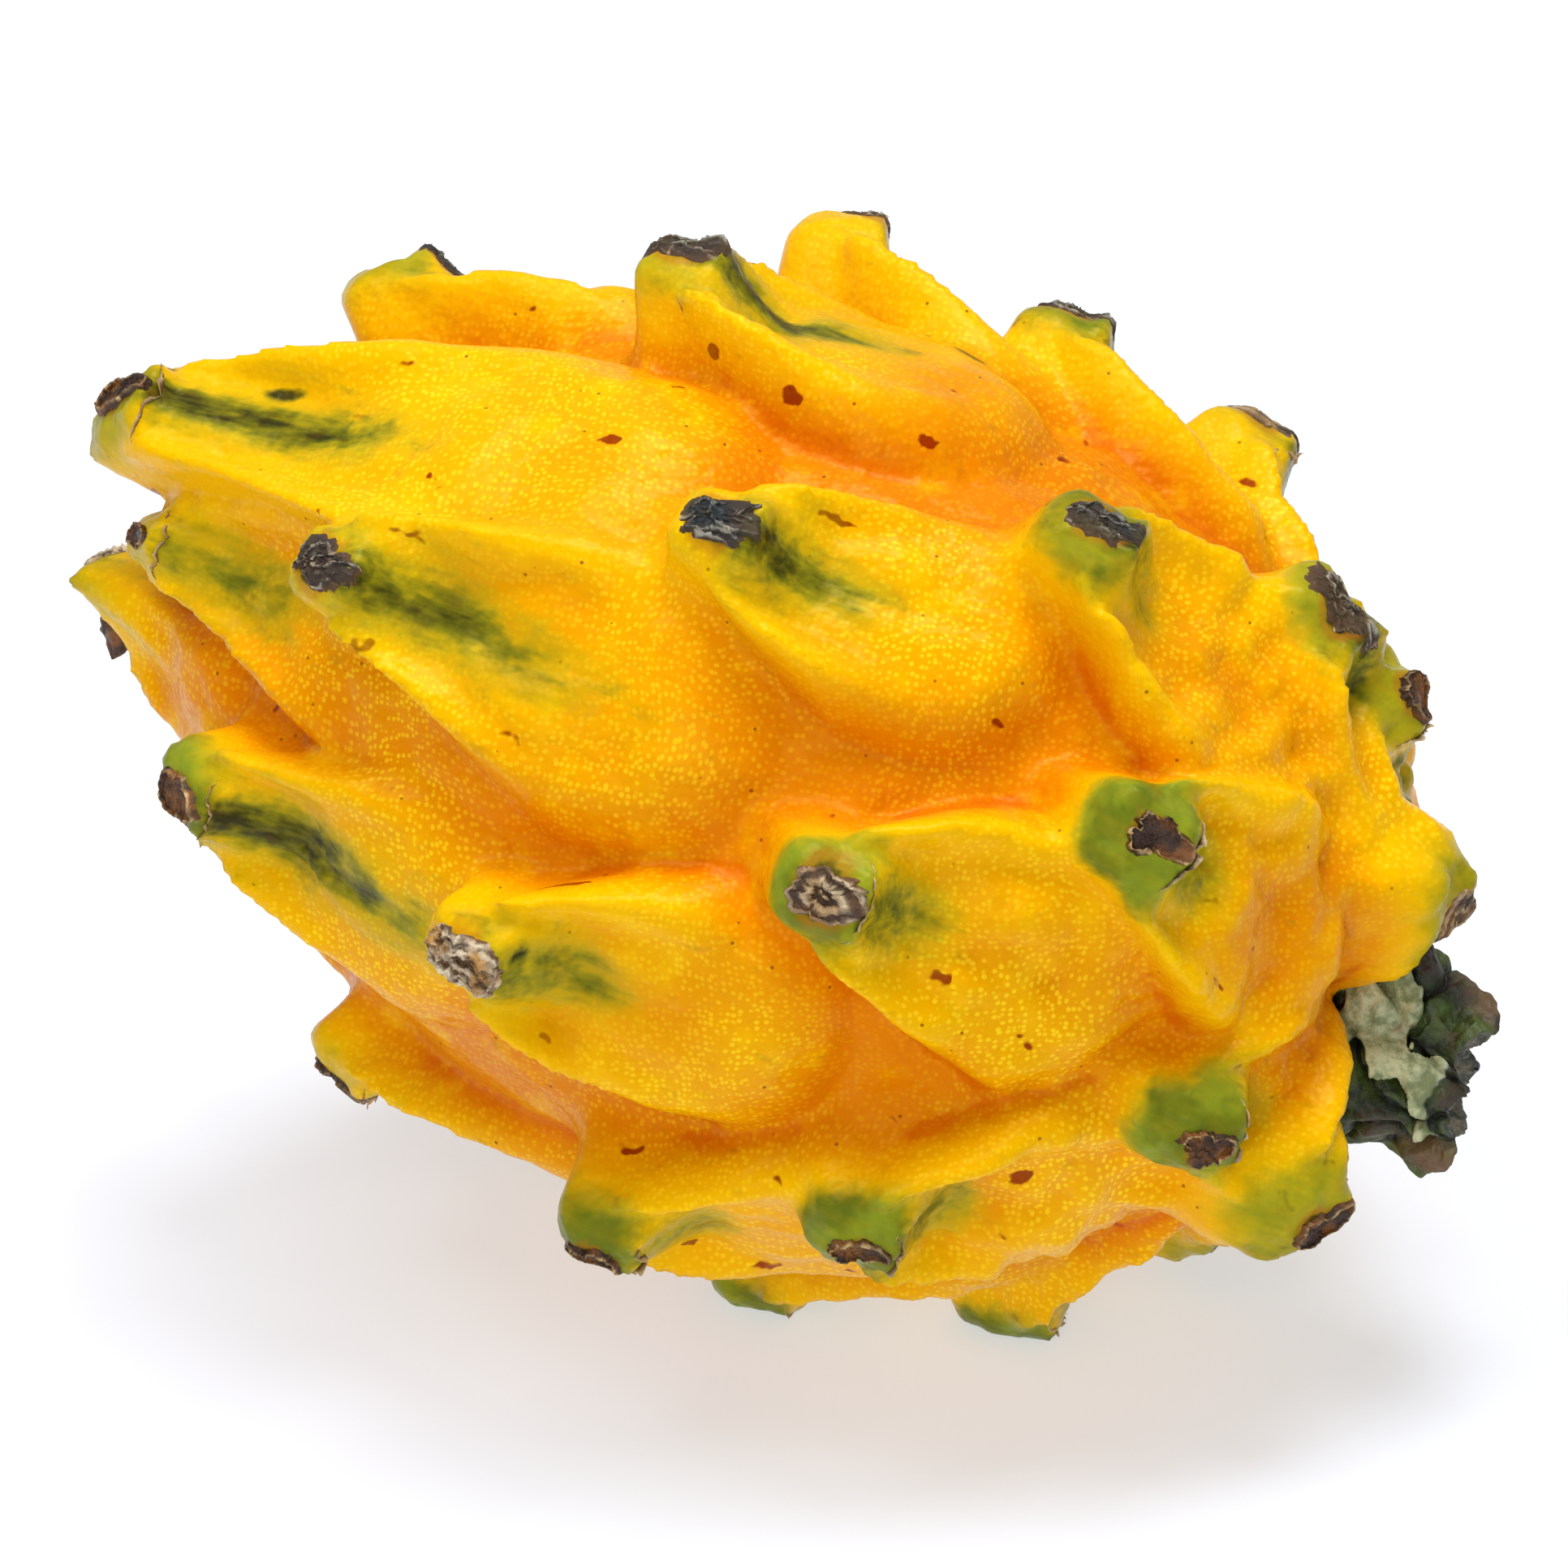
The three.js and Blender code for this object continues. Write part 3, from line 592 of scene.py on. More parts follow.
class Nodes:
    """A material and short ways to add nodes to it."""

    def __init__(self, name):
        self.material = bpy.data.materials.new(name)
        self.material.use_nodes = True
        self.tree = self.material.node_tree
        self.shader = self.tree.nodes["Principled BSDF"]

    def add(self, kind, inputs=None, **settings):
        node = self.tree.nodes.new(kind)
        for key, value in settings.items():
            setattr(node, key, value)
        for key, value in (inputs or {}).items():
            self.set(node.inputs[key], value)
        return node

    def set(self, socket, value):
        if isinstance(value, bpy.types.NodeSocket):
            self.tree.links.new(value, socket)
        else:
            socket.default_value = value

    def mask(self, name):
        return self.add("ShaderNodeAttribute", attribute_name=name).outputs["Fac"]

    def math(self, operation, a, b, clamp=False):
        node = self.add("ShaderNodeMath", {0: a, 1: b}, operation=operation, use_clamp=clamp)
        return node.outputs[0]

    def mix(self, share, a, b):
        node = self.add("ShaderNodeMix", data_type="RGBA")
        self.set(node.inputs["Factor"], share)
        self.set(node.inputs["A"], a)
        self.set(node.inputs["B"], b)
        return node.outputs["Result"]

    def ramp(self, value, low, high):
        inputs = {"Value": value, "From Min": low, "From Max": high}
        node = self.add("ShaderNodeMapRange", inputs, interpolation_type="SMOOTHSTEP")
        return node.outputs["Result"]

    def noise(self, scale, detail=4, rough=0.55, vector=None):
        inputs = {"Scale": scale, "Detail": detail, "Roughness": rough}
        node = self.add("ShaderNodeTexNoise", inputs)
        self.set(node.inputs["Vector"], vector or self.place)
        return node.outputs["Fac"]

    def cells(self, scale, randomness=1.0, vector=None):
        node = self.add("ShaderNodeTexVoronoi", {"Scale": scale, "Randomness": randomness})
        self.set(node.inputs["Vector"], vector or self.place)
        return node.outputs

    def times(self, a, b, clamp=False):
        return self.math("MULTIPLY", a, b, clamp)

    def plus(self, a, b):
        return self.math("ADD", a, b)

    def less(self, a, b, clamp=False):
        return self.math("SUBTRACT", a, b, clamp)

    def pushed(self, places, push, scale, detail):
        """Places moved by a noise vector, so that marks on them lie unevenly."""
        inputs = {"Vector": self.place, "Scale": scale, "Detail": detail}
        away = self.add("ShaderNodeTexNoise", inputs).outputs["Color"]
        mixed = {"Fac": push, "Color1": places, "Color2": away}
        return self.add("ShaderNodeMixRGB", mixed, blend_type="ADD").outputs["Color"]

    def stretched(self, amount):
        """Object coordinates pulled out along the fruit, for marks that run along it."""
        inputs = {"Vector": self.place, "Rotation": (0, PITCH, 0), "Scale": (amount, 1, 1)}
        return self.add("ShaderNodeMapping", inputs, vector_type="TEXTURE").outputs["Vector"]

    def bump(self, height, strength, distance):
        inputs = {"Strength": strength, "Distance": distance, "Height": height}
        self.set(self.shader.inputs["Normal"], self.add("ShaderNodeBump", inputs).outputs["Normal"])

    @property
    def place(self):
        if not hasattr(self, "_place"):
            self._place = self.add("ShaderNodeTexCoord").outputs["Object"]
        return self._place


def srgb(r, g, b):
    def linear(c):
        c = c / 255
        return c / 12.92 if c <= 0.04045 else ((c + 0.055) / 1.055) ** 2.4

    return (linear(r), linear(g), linear(b), 1.0)


# Skin yellows: darker orange painted as shade low in the valleys, paler painted as lit on the
# raised tops, and pale patches at random
YELLOW_LOW_SHADED, YELLOW_HIGH_LIT, YELLOW_PALE = srgb(221, 126, 0), srgb(241, 180, 0), srgb(250, 206, 0)
DOT_COLOUR, SPECK_COLOUR, FLECK_COLOUR = srgb(255, 212, 28), srgb(120, 52, 6), srgb(136, 20, 0)
LIME, GREEN, DEEP_GREEN = srgb(206, 178, 4), srgb(112, 138, 34), srgb(66, 98, 26)
MURKY, STREAK_BLACK = srgb(84, 98, 20), srgb(28, 28, 14)
# Dried scar browns, and a darker orange painted as shade in the creases
SCAR_BROWN, RIM_BROWN, CREASE_SHADE_ORANGE = srgb(50, 38, 18), srgb(176, 104, 22), srgb(208, 92, 0)

# Marks to a metre along each axis, and how far noise pushes their places, in metres
DOT_CELLS, DOT_EVENNESS, DOT_PUSH = 1950, 0.62, 0.0022
SPECK_CELLS = 560
FLECK_CELLS, FLECK_PUSH, FLECK_STRETCH = 380, 0.002, 2.0


def skin_material():
    m = Nodes("pitahaya skin")
    broad = m.noise(60, 2)
    # Painted shade and light: the yellow turns darker orange where the skin lies low and paler
    # where it stands high, with a broad random tone over it
    tone = m.plus(m.times(m.mask("height"), 1.1), m.times(broad, 0.7))
    colour = m.mix(m.ramp(tone, 0.35, 1.05), YELLOW_LOW_SHADED, YELLOW_HIGH_LIT)
    patch_noise = m.noise(190, 3, 0.6)
    colour = m.mix(m.times(m.ramp(patch_noise, 0.5, 0.78), 0.40), colour, YELLOW_PALE)

    # Pale dots, closer and clearer on the pads
    dots = m.cells(DOT_CELLS, DOT_EVENNESS, m.pushed(m.place, DOT_PUSH, 130.0, 0.0))
    dot = m.ramp(dots["Distance"], 0.50, 0.20)
    dot_share = m.times(dot, m.plus(m.times(m.mask("pad"), 0.35), 0.30))
    dot_share = m.times(dot_share, m.plus(m.ramp(broad, 0.30, 0.70), 0.3), clamp=True)
    colour = m.mix(dot_share, colour, DOT_COLOUR)

    # Small dark specks, rare red-brown flecks and the single blemishes
    edge = m.noise(420, 3, 0.62)
    specks = m.cells(SPECK_CELLS, 1.0)
    speck = m.times(m.ramp(specks["Distance"], 0.10, 0.06), m.ramp(specks["Color"], 0.60, 0.63))
    colour = m.mix(m.times(speck, 0.75), colour, SPECK_COLOUR)
    flecks = m.cells(FLECK_CELLS, 1.0, m.pushed(m.stretched(FLECK_STRETCH), FLECK_PUSH, 700.0, 1.0))
    fleck = m.times(m.ramp(flecks["Distance"], 0.20, 0.10), m.ramp(flecks["Color"], 0.74, 0.76))
    stain = m.plus(m.mask("fleck"), m.times(m.less(edge, 0.5), 1.2))
    fleck = m.math("MAXIMUM", fleck, m.ramp(stain, 0.30, 0.55))
    colour = m.mix(m.times(fleck, 0.92), colour, FLECK_COLOUR)

    # Green tips and midribs, darker in the middle
    fibre = m.noise(900, 2, 0.6, m.stretched(6.0))
    blot = m.less(m.plus(m.times(edge, 0.5), m.times(fibre, 0.7)), 0.6)
    green = m.plus(m.mask("green"), m.times(blot, 0.5))
    colour = m.mix(m.times(m.ramp(green, 0.05, 0.70), 0.55), colour, LIME)
    green_colour = m.mix(m.ramp(patch_noise, 0.40, 0.62), GREEN, DEEP_GREEN)
    colour = m.mix(m.times(m.ramp(green, 0.26, 1.12), 0.92), colour, green_colour)
    dark = m.plus(m.mask("dark"), m.times(blot, 1.5))
    colour = m.mix(m.times(m.ramp(dark, 0.15, 0.70), 0.62), colour, MURKY)
    colour = m.mix(m.times(m.ramp(dark, 0.50, 1.10), 0.93), colour, STREAK_BLACK)

    # Dried skin under and round the scars, and painted shade in the creases: darker orange along
    # the pad edges
    scar = m.ramp(m.plus(m.mask("scar"), m.times(edge, 0.5)), 0.85, 1.2)
    colour = m.mix(m.times(scar, 0.88), colour, SCAR_BROWN)
    rim = m.ramp(m.plus(m.mask("scar"), m.times(m.less(edge, 0.5), 0.9)), 0.05, 0.55)
    colour = m.mix(m.times(m.less(rim, scar, clamp=True), 0.55), colour, RIM_BROWN)
    # Painted shade: darker orange along the creases at the pad edges
    crease = m.times(m.ramp(m.mask("crease"), 0.3, 1.0), 0.65)
    colour = m.mix(crease, colour, CREASE_SHADE_ORANGE)

    s = m.shader.inputs
    m.set(s["Base Color"], colour)
    rough = m.plus(m.times(edge, 0.22), 0.16)
    m.set(s["Roughness"], m.plus(rough, m.times(scar, 0.25)))
    s["Specular IOR Level"].default_value = 0.15
    s["Specular Tint"].default_value = (1.0, 0.78, 0.18, 1)
    m.bump(m.plus(m.noise(1000, 1), m.times(m.noise(300, 3), 1.7)), 0.32, 0.0004)
    return m.material


shown.materials.clear()
shown.materials.append(skin_material())
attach(fruit, "root")
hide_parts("fruit")


# Dried scars on the tips
def skin_place(along, angle):
    a = np.array([[along]])
    th = np.array([[angle]])
    return (skin(a, th)[0, 0] + OFFSET) * MM


def tip_frame(tb):
    """Place and directions of a tubercle's scar, read from the part's own relief."""
    step = 0.8
    y_turn = step / max(tb["radius"], 6)
    along, angle = tb["along"] + tb["scar_at"], tb["angle"]
    centre = skin_place(along, angle)
    back = Vector(skin_place(along + step, angle) - skin_place(along - step, angle)).normalized()
    across = Vector(skin_place(along, angle + y_turn) - skin_place(along, angle - y_turn))
    normal = across.cross(back).normalized()
    egg_centre = (lay(tb["station"], 0.0, 0.0) + OFFSET) * MM
    if normal.dot(Vector(centre) - Vector(egg_centre)) < 0:
        normal = -normal
    return Vector(centre), back, normal.cross(back).normalized(), normal


SCAR_RINGS, SCAR_SPOKES = 26, 84

# Points of the skin that a scar is laid on, and the distance that softens their weights
NEAR_POINTS, NEAR_SOFTENING = 6, 0.0002


def scar_form(kind, share, turn, seed):
    """Height of the dried cap over the skin, in parts of its radius, and how pale it is there."""
    spot = Vector((math.cos(turn) * share, math.sin(turn) * share, seed))
    warp = noise.noise_vector(spot * 1.2 + Vector((0, 0, 4))) * 0.5
    ridge = max(1 - 7.5 * abs(noise.noise(spot * 1.7 + warp)), 0)
    flakes = max(1 - 6.0 * abs(noise.noise(spot * 3.6 + warp + Vector((7, 1, 0)))), 0)
    crumple = noise.fractal(spot * 6.0, 0.8, 2.1, 3)
    bent_share = share + 0.16 * noise.noise(spot * 1.6) + 0.02 * math.sin(3 * turn)
    if kind == "hollow":
        rim = math.exp(-(((bent_share - 0.86) / 0.06) ** 2))
        lift = 0.16 + 0.26 * rim - 0.10 * (1 - float(smooth(0.2, 0.7, bent_share))) + 0.04 * crumple
        inner_ridge = ridge * float(smooth(0.7, 0.5, share))
        pale = 1.1 * rim * (0.6 + 0.4 * ridge) + 0.30 * inner_ridge - 0.12
    elif kind == "coil":
        coil = 0.5 + 0.5 * math.cos(15.0 * bent_share + 0.9 * math.sin(2 * turn + seed))
        lift = 0.10 + 0.09 * coil + 0.04 * crumple
        pale = 0.15 + 0.75 * coil * (0.6 + 0.4 * flakes)
    elif kind == "cork":
        lift = 0.16 + 0.14 * ridge + 0.08 * flakes + 0.08 * crumple
        pale = 0.45 + 0.4 * ridge + 0.4 * flakes + 0.5 * crumple
    else:
        lift = 0.10 + 0.09 * ridge + 0.05 * flakes + 0.06 * crumple
        pale = 0.10 + 0.70 * ridge**2 + 0.30 * flakes**2 + 0.30 * crumple
    outer = float(smooth(0.86 if kind == "hollow" else 0.62, 1.0, share))
    return lift * (1 - outer) - 0.14 * float(smooth(0.92, 1.0, share)), pale * (1 - 0.3 * outer)


def add_scar(tb, verts, faces, tones, warms, pales):
    """A dried cap on the tip: rings with a ragged edge, laid on the skin and lifted by its kind."""
    centre, back, across, normal = tip_frame(tb)
    size_mm = tb["scar"] * (0.6 + 0.4 * tb["size"])
    size = size_mm * MM
    seed = tb["n"] * 3.1
    start = len(verts)
    tail = 0.9 if tb["kind"] == "hollow" else 0.25
    longer = 1.12 + 0.2 * tb["rnd"][1] if tb["kind"] != "membrane" else 1.3
    for i in range(SCAR_RINGS + 1):
        share = i / SCAR_RINGS
        for j in range(SCAR_SPOKES):
            turn = 2 * math.pi * j / SCAR_SPOKES
            around = Vector((math.cos(turn), math.sin(turn), seed))
            edge = 1 + 0.45 * noise.noise(around * 1.1) + 0.34 * noise.noise(around * 3.0)
            edge += 0.12 * noise.noise(around * 8.0)
            edge += tail * max(math.cos(turn), 0) ** 7
            lift, pale = scar_form(tb["kind"], share, turn, seed)
            spread = back * math.cos(turn) * longer + across * math.sin(turn) / longer
            place = on_skin(centre + spread * size * share * edge) + normal * size * lift
            verts.append(place)
            patch = noise.noise(around * 0.5 + Vector((share * 2.2, 0, 9)))
            browned = 0.35 * patch + 0.45 * float(smooth(0.60, 0.95, share))
            tones.append(min(max(tb["tone"] + browned, 0), 1))
            warms.append(KIND_WARMTH[tb["kind"]])
            pales.append(min(max(pale, 0), 1))
    for i in range(SCAR_RINGS):
        for j in range(SCAR_SPOKES):
            k = (j + 1) % SCAR_SPOKES
            a, b = start + i * SCAR_SPOKES + j, start + i * SCAR_SPOKES + k
            faces.append((a, a + SCAR_SPOKES, b + SCAR_SPOKES, b))


point_tree = tree_of([v.co for v in shown.vertices])


def on_skin(place):
    """Nearest place on the fine skin, averaged over a few of its points."""
    near = point_tree.find_n(place, NEAR_POINTS)
    total = Vector((0, 0, 0))
    weight_sum = 0.0
    for co, _, distance in near:
        weight = 1 / (distance + NEAR_SOFTENING)
        total += co * weight
        weight_sum += weight
    return total / weight_sum


def add_sheet(rows, looks, verts, faces, tones, warms, pales):
    """A thin dry sheet from rows of places; looks gives tone and warmth, and paleness by row."""
    tone, warm, pale_rows = looks
    start, columns = len(verts), len(rows[0])
    for row, pale in zip(rows, pale_rows):
        for place in row:
            verts.append(Vector(place))
            tones.append(tone)
            warms.append(warm)
            pales.append(pale)
    for i in range(len(rows) - 1):
        for j in range(columns - 1):
            a = start + i * columns + j
            faces.append((a, a + 1, a + 1 + columns, a + columns))


LIP_COLUMNS, LIP_ROWS = 46, 5


def add_lip(tb, lists):
    """Papery remains of the scale that stood on the tip, along the hood's back edge."""
    _, back, _, normal = tip_frame(tb)
    s = np.linspace(-1, 1, LIP_COLUMNS)
    width = tb["blunt"] * (0.80 + 0.1 * tb["rnd"][2])
    shift = 0.45 * np.array([noise.noise(Vector((v * 3.0, tb["n"] * 1.7, 0.0))) for v in s])
    along = tb["along"] + LIP_AT + 0.35 - 0.9 * s * s + shift
    angle = tb["angle"] + s * width / max(tb["radius"], 6)
    base = (skin(along[None], angle[None])[0] + OFFSET) * MM
    feet = [on_skin(Vector(place)) for place in base]
    tall = np.array([0.45 + 0.9 * noise.noise(Vector((v * 5.0, tb["n"] * 2.3, 3.0))) for v in s])
    tall = np.clip(tall, 0.12, 1.1) * (1 - np.abs(s) ** 3) * (0.5 + 0.5 * tb["size"])
    shares = [k / LIP_ROWS for k in range(LIP_ROWS + 1)]
    rows = []
    for share in shares:
        row = []
        for j in range(LIP_COLUMNS):
            curl = 0.25 * share * share * noise.noise(Vector((s[j] * 6.0, tb["n"], share * 2)))
            rise = tall[j] * share - 0.1
            lean = 0.45 * share * tall[j] + curl
            row.append(feet[j] + normal * MM * rise + back * MM * lean)
        rows.append(row)
    add_sheet(rows, (0.75, 0.65, [0.15 + 0.8 * share for share in shares]), *lists)


# The tubercle with a brown remnant, and the points along each side of that
SHRED_ON, SHRED_POINTS = -17, 12


def add_shred(tb, lists):
    """Brown remnant that hangs from the lowest side of the outermost tip; lengths in metres."""
    foot = on_skin(tip_frame(tb)[0] + Vector((0.0012, -0.0006, -0.0052)))
    rows = []
    for k in range(SHRED_POINTS):
        share = k / (SHRED_POINTS - 1)
        half = 0.0013 * (0.75 + 0.6 * math.sin(2.6 * share) - 0.75 * share)
        aside = -0.0014 * share - 0.0005 * math.sin(5 * share)
        middle = foot + Vector((aside, -0.0003, 0.0004 - 0.0036 * share))
        row = []
        for j in range(SHRED_POINTS):
            u = j / (SHRED_POINTS - 1) * 2 - 1
            spot = Vector((u * 1.4, share * 2.2, 5.0))
            ripple = 0.0006 * noise.noise(spot) + 0.0002 * noise.noise(spot * 3.1)
            edge = half * (1 + 0.45 * noise.noise(Vector((share * 4, 2.0 if u > 0 else 7.0, 1.0))))
            bowed = ripple - 0.0007 * math.cos(1.6 * u)
            row.append(middle + Vector((u * edge, bowed, 0.2 * edge * u * u)))
        rows.append(row)
    pale_rows = [0.05 + 0.25 * (k % 3 == 1) for k in range(SHRED_POINTS)]
    add_sheet(rows, (0.3, 1.0, pale_rows), *lists)


scar_lists = scar_verts, scar_faces, scar_tones, scar_warms, scar_pales = [], [], [], [], []
for tubercle in TUBERCLES:
    if tubercle["size"] > 0.5 or tubercle["n"] in TIP_LOOKS:
        add_scar(tubercle, *scar_lists)
        if tubercle["kind"] in ("hollow", "coil"):
            add_lip(tubercle, scar_lists)
    if tubercle["n"] == SHRED_ON:
        add_shred(tubercle, scar_lists)
for v in scar_verts:
    v.z = max(v.z, 0.0)
scars = mesh_object("areole_scars", scar_verts, scar_faces)
for name, values in (("tone", scar_tones), ("pale", scar_pales), ("warm", scar_warms)):
    set_attribute(scars.data, name, values)


def scar_material():
    m = Nodes("dried scar")
    tone, warm = m.mask("tone"), m.mask("warm")
    lit = m.mix(tone, srgb(112, 116, 108), srgb(220, 210, 188))
    lit = m.mix(m.times(m.ramp(m.noise(380, 4), 0.45, 0.65), tone), lit, srgb(168, 118, 52))
    mottled = m.mix(m.ramp(m.noise(300, 3), 0.45, 0.60), srgb(28, 33, 36), srgb(66, 60, 34))
    deep = m.mix(tone, mottled, srgb(92, 62, 30))
    amber = m.mix(m.ramp(m.noise(520, 3), 0.42, 0.66), srgb(52, 24, 0), srgb(126, 74, 6))
    deep = m.mix(warm, deep, amber)
    lit = m.mix(m.times(warm, 0.8), lit, srgb(222, 178, 104))
    high = m.plus(m.mask("pale"), m.times(m.less(m.noise(800, 5, 0.7), 0.5), 0.7))
    m.set(m.shader.inputs["Base Color"], m.mix(m.ramp(high, 0.22, 0.90), deep, lit))
    m.set(m.shader.inputs["Roughness"], m.less(0.78, m.times(warm, 0.50)))
    m.bump(m.noise(1300, 5, 0.7), 0.7, 0.0005)
    return m.material


scars.data.materials.append(scar_material())
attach(scars, "root")

# Cut stem: three blunt lobes with a torn end, form as in the part's source
STUB_FROM, STUB_TO = 41.0, 55.3
STUB_RADIUS, STUB_LOBE_HEIGHT, STUB_LOBES, STUB_LOBE_TURN = 5.9, 1.5, 3, math.radians(20)
STUB_TEAR = 1.3
STUB_SAG, STUB_SIDEWAYS = 2.0, 2.6
STUB_ROWS, STUB_COLUMNS = 120, 300

# Cut end: rings, how far its middle lies inside the tip, and how deep it is dished
CUT_ROWS, CUT_INSIDE, CUT_DISH = 26, 1.5, 0.72

# Pale torn flap on the stub's upper front
FLAP_TURN_FROM, FLAP_TURN_TO, FLAP_HALF_TURN = math.radians(22), math.radians(72), math.radians(27)
FLAP_HEIGHT, SEAM_DEPTH = 1.5, 0.7

t_rows = np.linspace(0, 1, STUB_ROWS)
stub_angle = np.linspace(0, 2 * math.pi, STUB_COLUMNS, endpoint=False)
T, SA = np.meshgrid(t_rows, stub_angle, indexing="ij")
lobe = np.cos(STUB_LOBES * SA + STUB_LOBE_TURN)
swell = 0.84 + 0.24 * np.sin(math.pi * np.minimum(T * 1.15, 1))
stub_radius = (STUB_RADIUS + STUB_LOBE_HEIGHT * lobe) * swell
tear = STUB_TEAR * smooth(0.5, 1, T) * np.sin(2 * SA + 0.8) * np.cos(5 * SA)
stub_x = STUB_FROM + (STUB_TO - STUB_FROM) * T + tear
stub_places = np.stack([stub_x, stub_radius * np.cos(SA), stub_radius * np.sin(SA)], -1)
rough_noise = noise_on(stub_places * np.array([0.5, 1, 1]), 2.4, 9, 4)
bulges = noise_on(stub_places * np.array([0.7, 1, 1]), 4.2, 12, 2)
flap_middle = FLAP_TURN_FROM + (FLAP_TURN_TO - FLAP_TURN_FROM) * T
flap_edge = FLAP_HALF_TURN * (1 + 0.9 * noise_on(stub_places, 2.6, 13, 3))
flap = 1 - smooth(0.80, 1.0, np.abs(SA - flap_middle) / flap_edge)
flap = flap * smooth(0.04, 0.08, T) * (1 - smooth(0.86, 0.93, T + 0.12 * rough_noise))
seam = np.exp(-(((np.abs(SA - flap_middle) / flap_edge - 1.12) / 0.14) ** 2))
stub_radius = stub_radius + (0.9 * rough_noise + 1.6 * pillows(bulges) + 0.8) * smooth(0.05, 0.2, T)
flap_rise = FLAP_HEIGHT * flap * (1 - 0.5 * smooth(0.4, 0.0, T))
stub_radius = stub_radius + flap_rise - SEAM_DEPTH * seam * smooth(0.1, 0.3, T)
cap_rows = np.linspace(1, 0.02, CUT_ROWS)[1:, None]
cap_x = stub_x[-1] * cap_rows + (STUB_TO - CUT_INSIDE) * (1 - cap_rows)
cap_r = stub_radius[-1] * cap_rows
cap_angle = np.broadcast_to(stub_angle, cap_x.shape)
cap_places = np.stack([cap_x, cap_r * np.cos(cap_angle), cap_r * np.sin(cap_angle)], -1)
cap_noise = noise_on(cap_places, 1.6, 10, 4)
cap_x = cap_x + 0.9 * cap_noise - CUT_DISH * 4 * (1 - cap_rows) * cap_rows
all_x = np.concatenate([stub_x, cap_x])
all_r = np.concatenate([stub_radius, cap_r])
all_angle = np.concatenate([SA, cap_angle])
bent = np.concatenate([T, np.ones_like(cap_x)])
stub_up = all_r * np.cos(all_angle) - STUB_SAG * (0.3 + bent)
stub_side = all_r * np.sin(all_angle) + STUB_SIDEWAYS * (0.2 + bent)
stub = mesh_object("cut_stem", *closed_rings(placed(lay_at(all_x, stub_up, stub_side))))


def stub_attribute(name, sides, end=0.0):
    """A value for each point of the stub's sides, and one for all of its cut end."""
    values = np.concatenate([[0], sides.reshape(-1), np.full(cap_x.size, end), [end]])
    set_attribute(stub.data, name, values)


stub_attribute("cut", np.zeros(SA.shape), 1.0)
stub_attribute("crest", lobe * T)
stub_attribute("flap", flap)
# Furrows between the bulges, for the painted shade on the stem
stub_attribute("furrow_shade", np.clip(-pillows(bulges), 0, 1))


def stem_material():
    m = Nodes("cut stem")
    side = m.mix(m.ramp(m.noise(300, 5, 0.65), 0.38, 0.62), srgb(26, 36, 14), srgb(72, 88, 32))
    browned = m.ramp(m.noise(210, 4, 0.6), 0.52, 0.64)
    side = m.mix(m.times(browned, 0.7), side, srgb(66, 42, 30))
    crest = m.ramp(m.plus(m.mask("crest"), m.times(m.noise(500, 4), 0.6)), 0.85, 1.3)
    side = m.mix(crest, side, srgb(104, 78, 48))
    # Painted shade: the furrows between the bulges are painted near black
    side = m.mix(m.ramp(m.mask("furrow_shade"), 0.1, 0.6), side, srgb(18, 20, 12))
    torn_noise = m.ramp(m.noise(450, 5, 0.65), 0.40, 0.62)
    torn = m.mix(torn_noise, srgb(112, 122, 78), srgb(186, 188, 146))
    torn_brown = m.times(m.ramp(m.noise(240, 4, 0.6), 0.55, 0.66), 0.7)
    torn = m.mix(torn_brown, torn, srgb(112, 84, 58))
    side = m.mix(m.ramp(m.mask("flap"), 0.35, 0.65), side, torn)
    cut_noise = m.ramp(m.noise(420, 5, 0.7), 0.42, 0.6)
    cut = m.mix(cut_noise, srgb(34, 36, 22), srgb(104, 96, 70))
    m.set(m.shader.inputs["Base Color"], m.mix(m.mask("cut"), side, cut))
    m.shader.inputs["Roughness"].default_value = 0.50
    m.bump(m.noise(900, 5, 0.65), 0.6, 0.0005)
    return m.material


stub.data.materials.append(stem_material())
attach(stub, "root")
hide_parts("stem_stub")

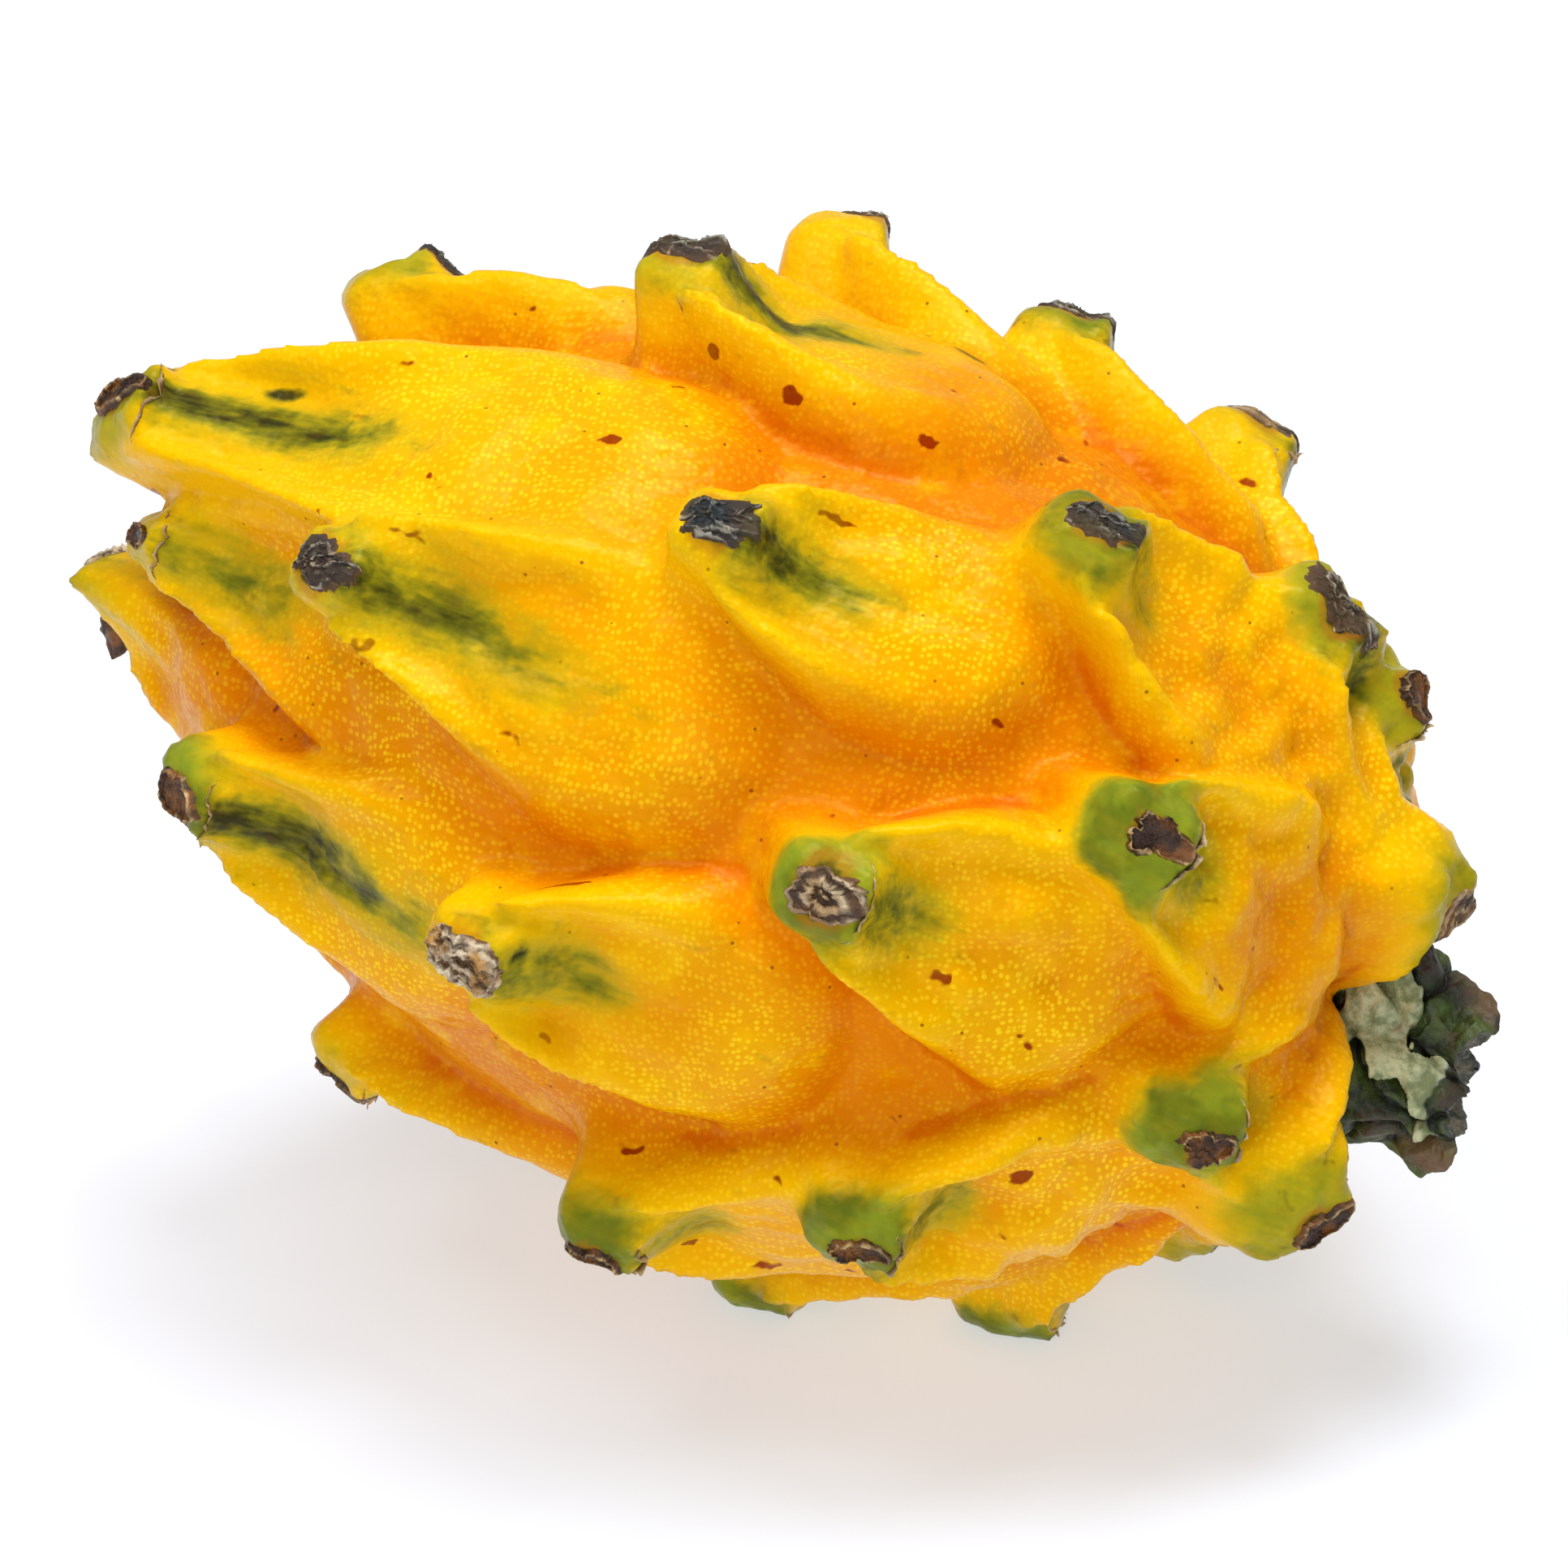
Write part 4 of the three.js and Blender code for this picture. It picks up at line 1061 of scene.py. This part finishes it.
# Camera at the photograph's angle
YAW, ELEVATION, DISTANCE = math.radians(16), math.radians(27), 0.6
PIXELS_PER_MM = 16.5
CENTRE_RIGHT, CENTRE_DOWN = 969, 960
IMAGE = 1932
SENSOR = 36
body_centre = Vector(OFFSET * MM)
level = math.cos(ELEVATION)
back = Vector((math.sin(YAW) * level, -math.cos(YAW) * level, math.sin(ELEVATION)))
camera = bpy.data.objects.new("camera", bpy.data.cameras.new("camera"))
bpy.context.scene.collection.objects.link(camera)
camera.data.sensor_width = SENSOR
camera.data.lens = SENSOR * PIXELS_PER_MM * DISTANCE * 1000 / IMAGE
camera.data.shift_x = (IMAGE / 2 - CENTRE_RIGHT) / IMAGE
camera.data.shift_y = (CENTRE_DOWN - IMAGE / 2) / IMAGE
camera.data.clip_start = 0.01
camera.location = body_centre + back * DISTANCE
camera.rotation_mode = "QUATERNION"
camera.rotation_quaternion = (-back).to_track_quat("-Z", "Y")
bpy.context.scene.camera = camera

# Pale floor, soft studio light
FLOOR_HALF = 4.0
FLOOR_LOOKS = {
    "Base Color": (0.42, 0.455, 0.53, 1),
    "Emission Color": (1, 1, 1, 1),
    "Emission Strength": 0.52,
    "Roughness": 0.9,
    "Specular IOR Level": 0.1,
}
WORLD_STRENGTH = 0.33

signs = [(-1, -1), (1, -1), (1, 1), (-1, 1)]
floor_corners = [(x * FLOOR_HALF, y * FLOOR_HALF, 0) for x, y in signs]
floor = mesh_object("floor", floor_corners, [(0, 1, 2, 3)])
floor_material = Nodes("pale floor")
for name, value in FLOOR_LOOKS.items():
    floor_material.shader.inputs[name].default_value = value
floor.data.materials.append(floor_material.material)


def area_light(name, place, aim, size, energy):
    light = bpy.data.lights.new(name, "AREA")
    light.energy = energy
    light.size = size
    holder = bpy.data.objects.new(name, light)
    bpy.context.scene.collection.objects.link(holder)
    holder.location = place
    holder.rotation_mode = "QUATERNION"
    holder.rotation_quaternion = (Vector(aim) - Vector(place)).to_track_quat("-Z", "Y")


area_light("key", (-0.18, -0.14, 0.60), (0, 0, 0.04), 0.26, 1.16)
area_light("overhead", (0.1, 0.20, 1.6), (0, 0, 0.0), 0.7, 18.6)
area_light("front", (0.15, -1.0, 0.40), (0, 0, 0.03), 0.7, 3.5)
world = bpy.data.worlds.new("studio")
bpy.context.scene.world = world
world.use_nodes = True
background = world.node_tree.nodes["Background"]
background.inputs["Color"].default_value = (1, 1, 1, 1)
background.inputs["Strength"].default_value = WORLD_STRENGTH
bpy.context.scene.view_settings.view_transform = "Standard"
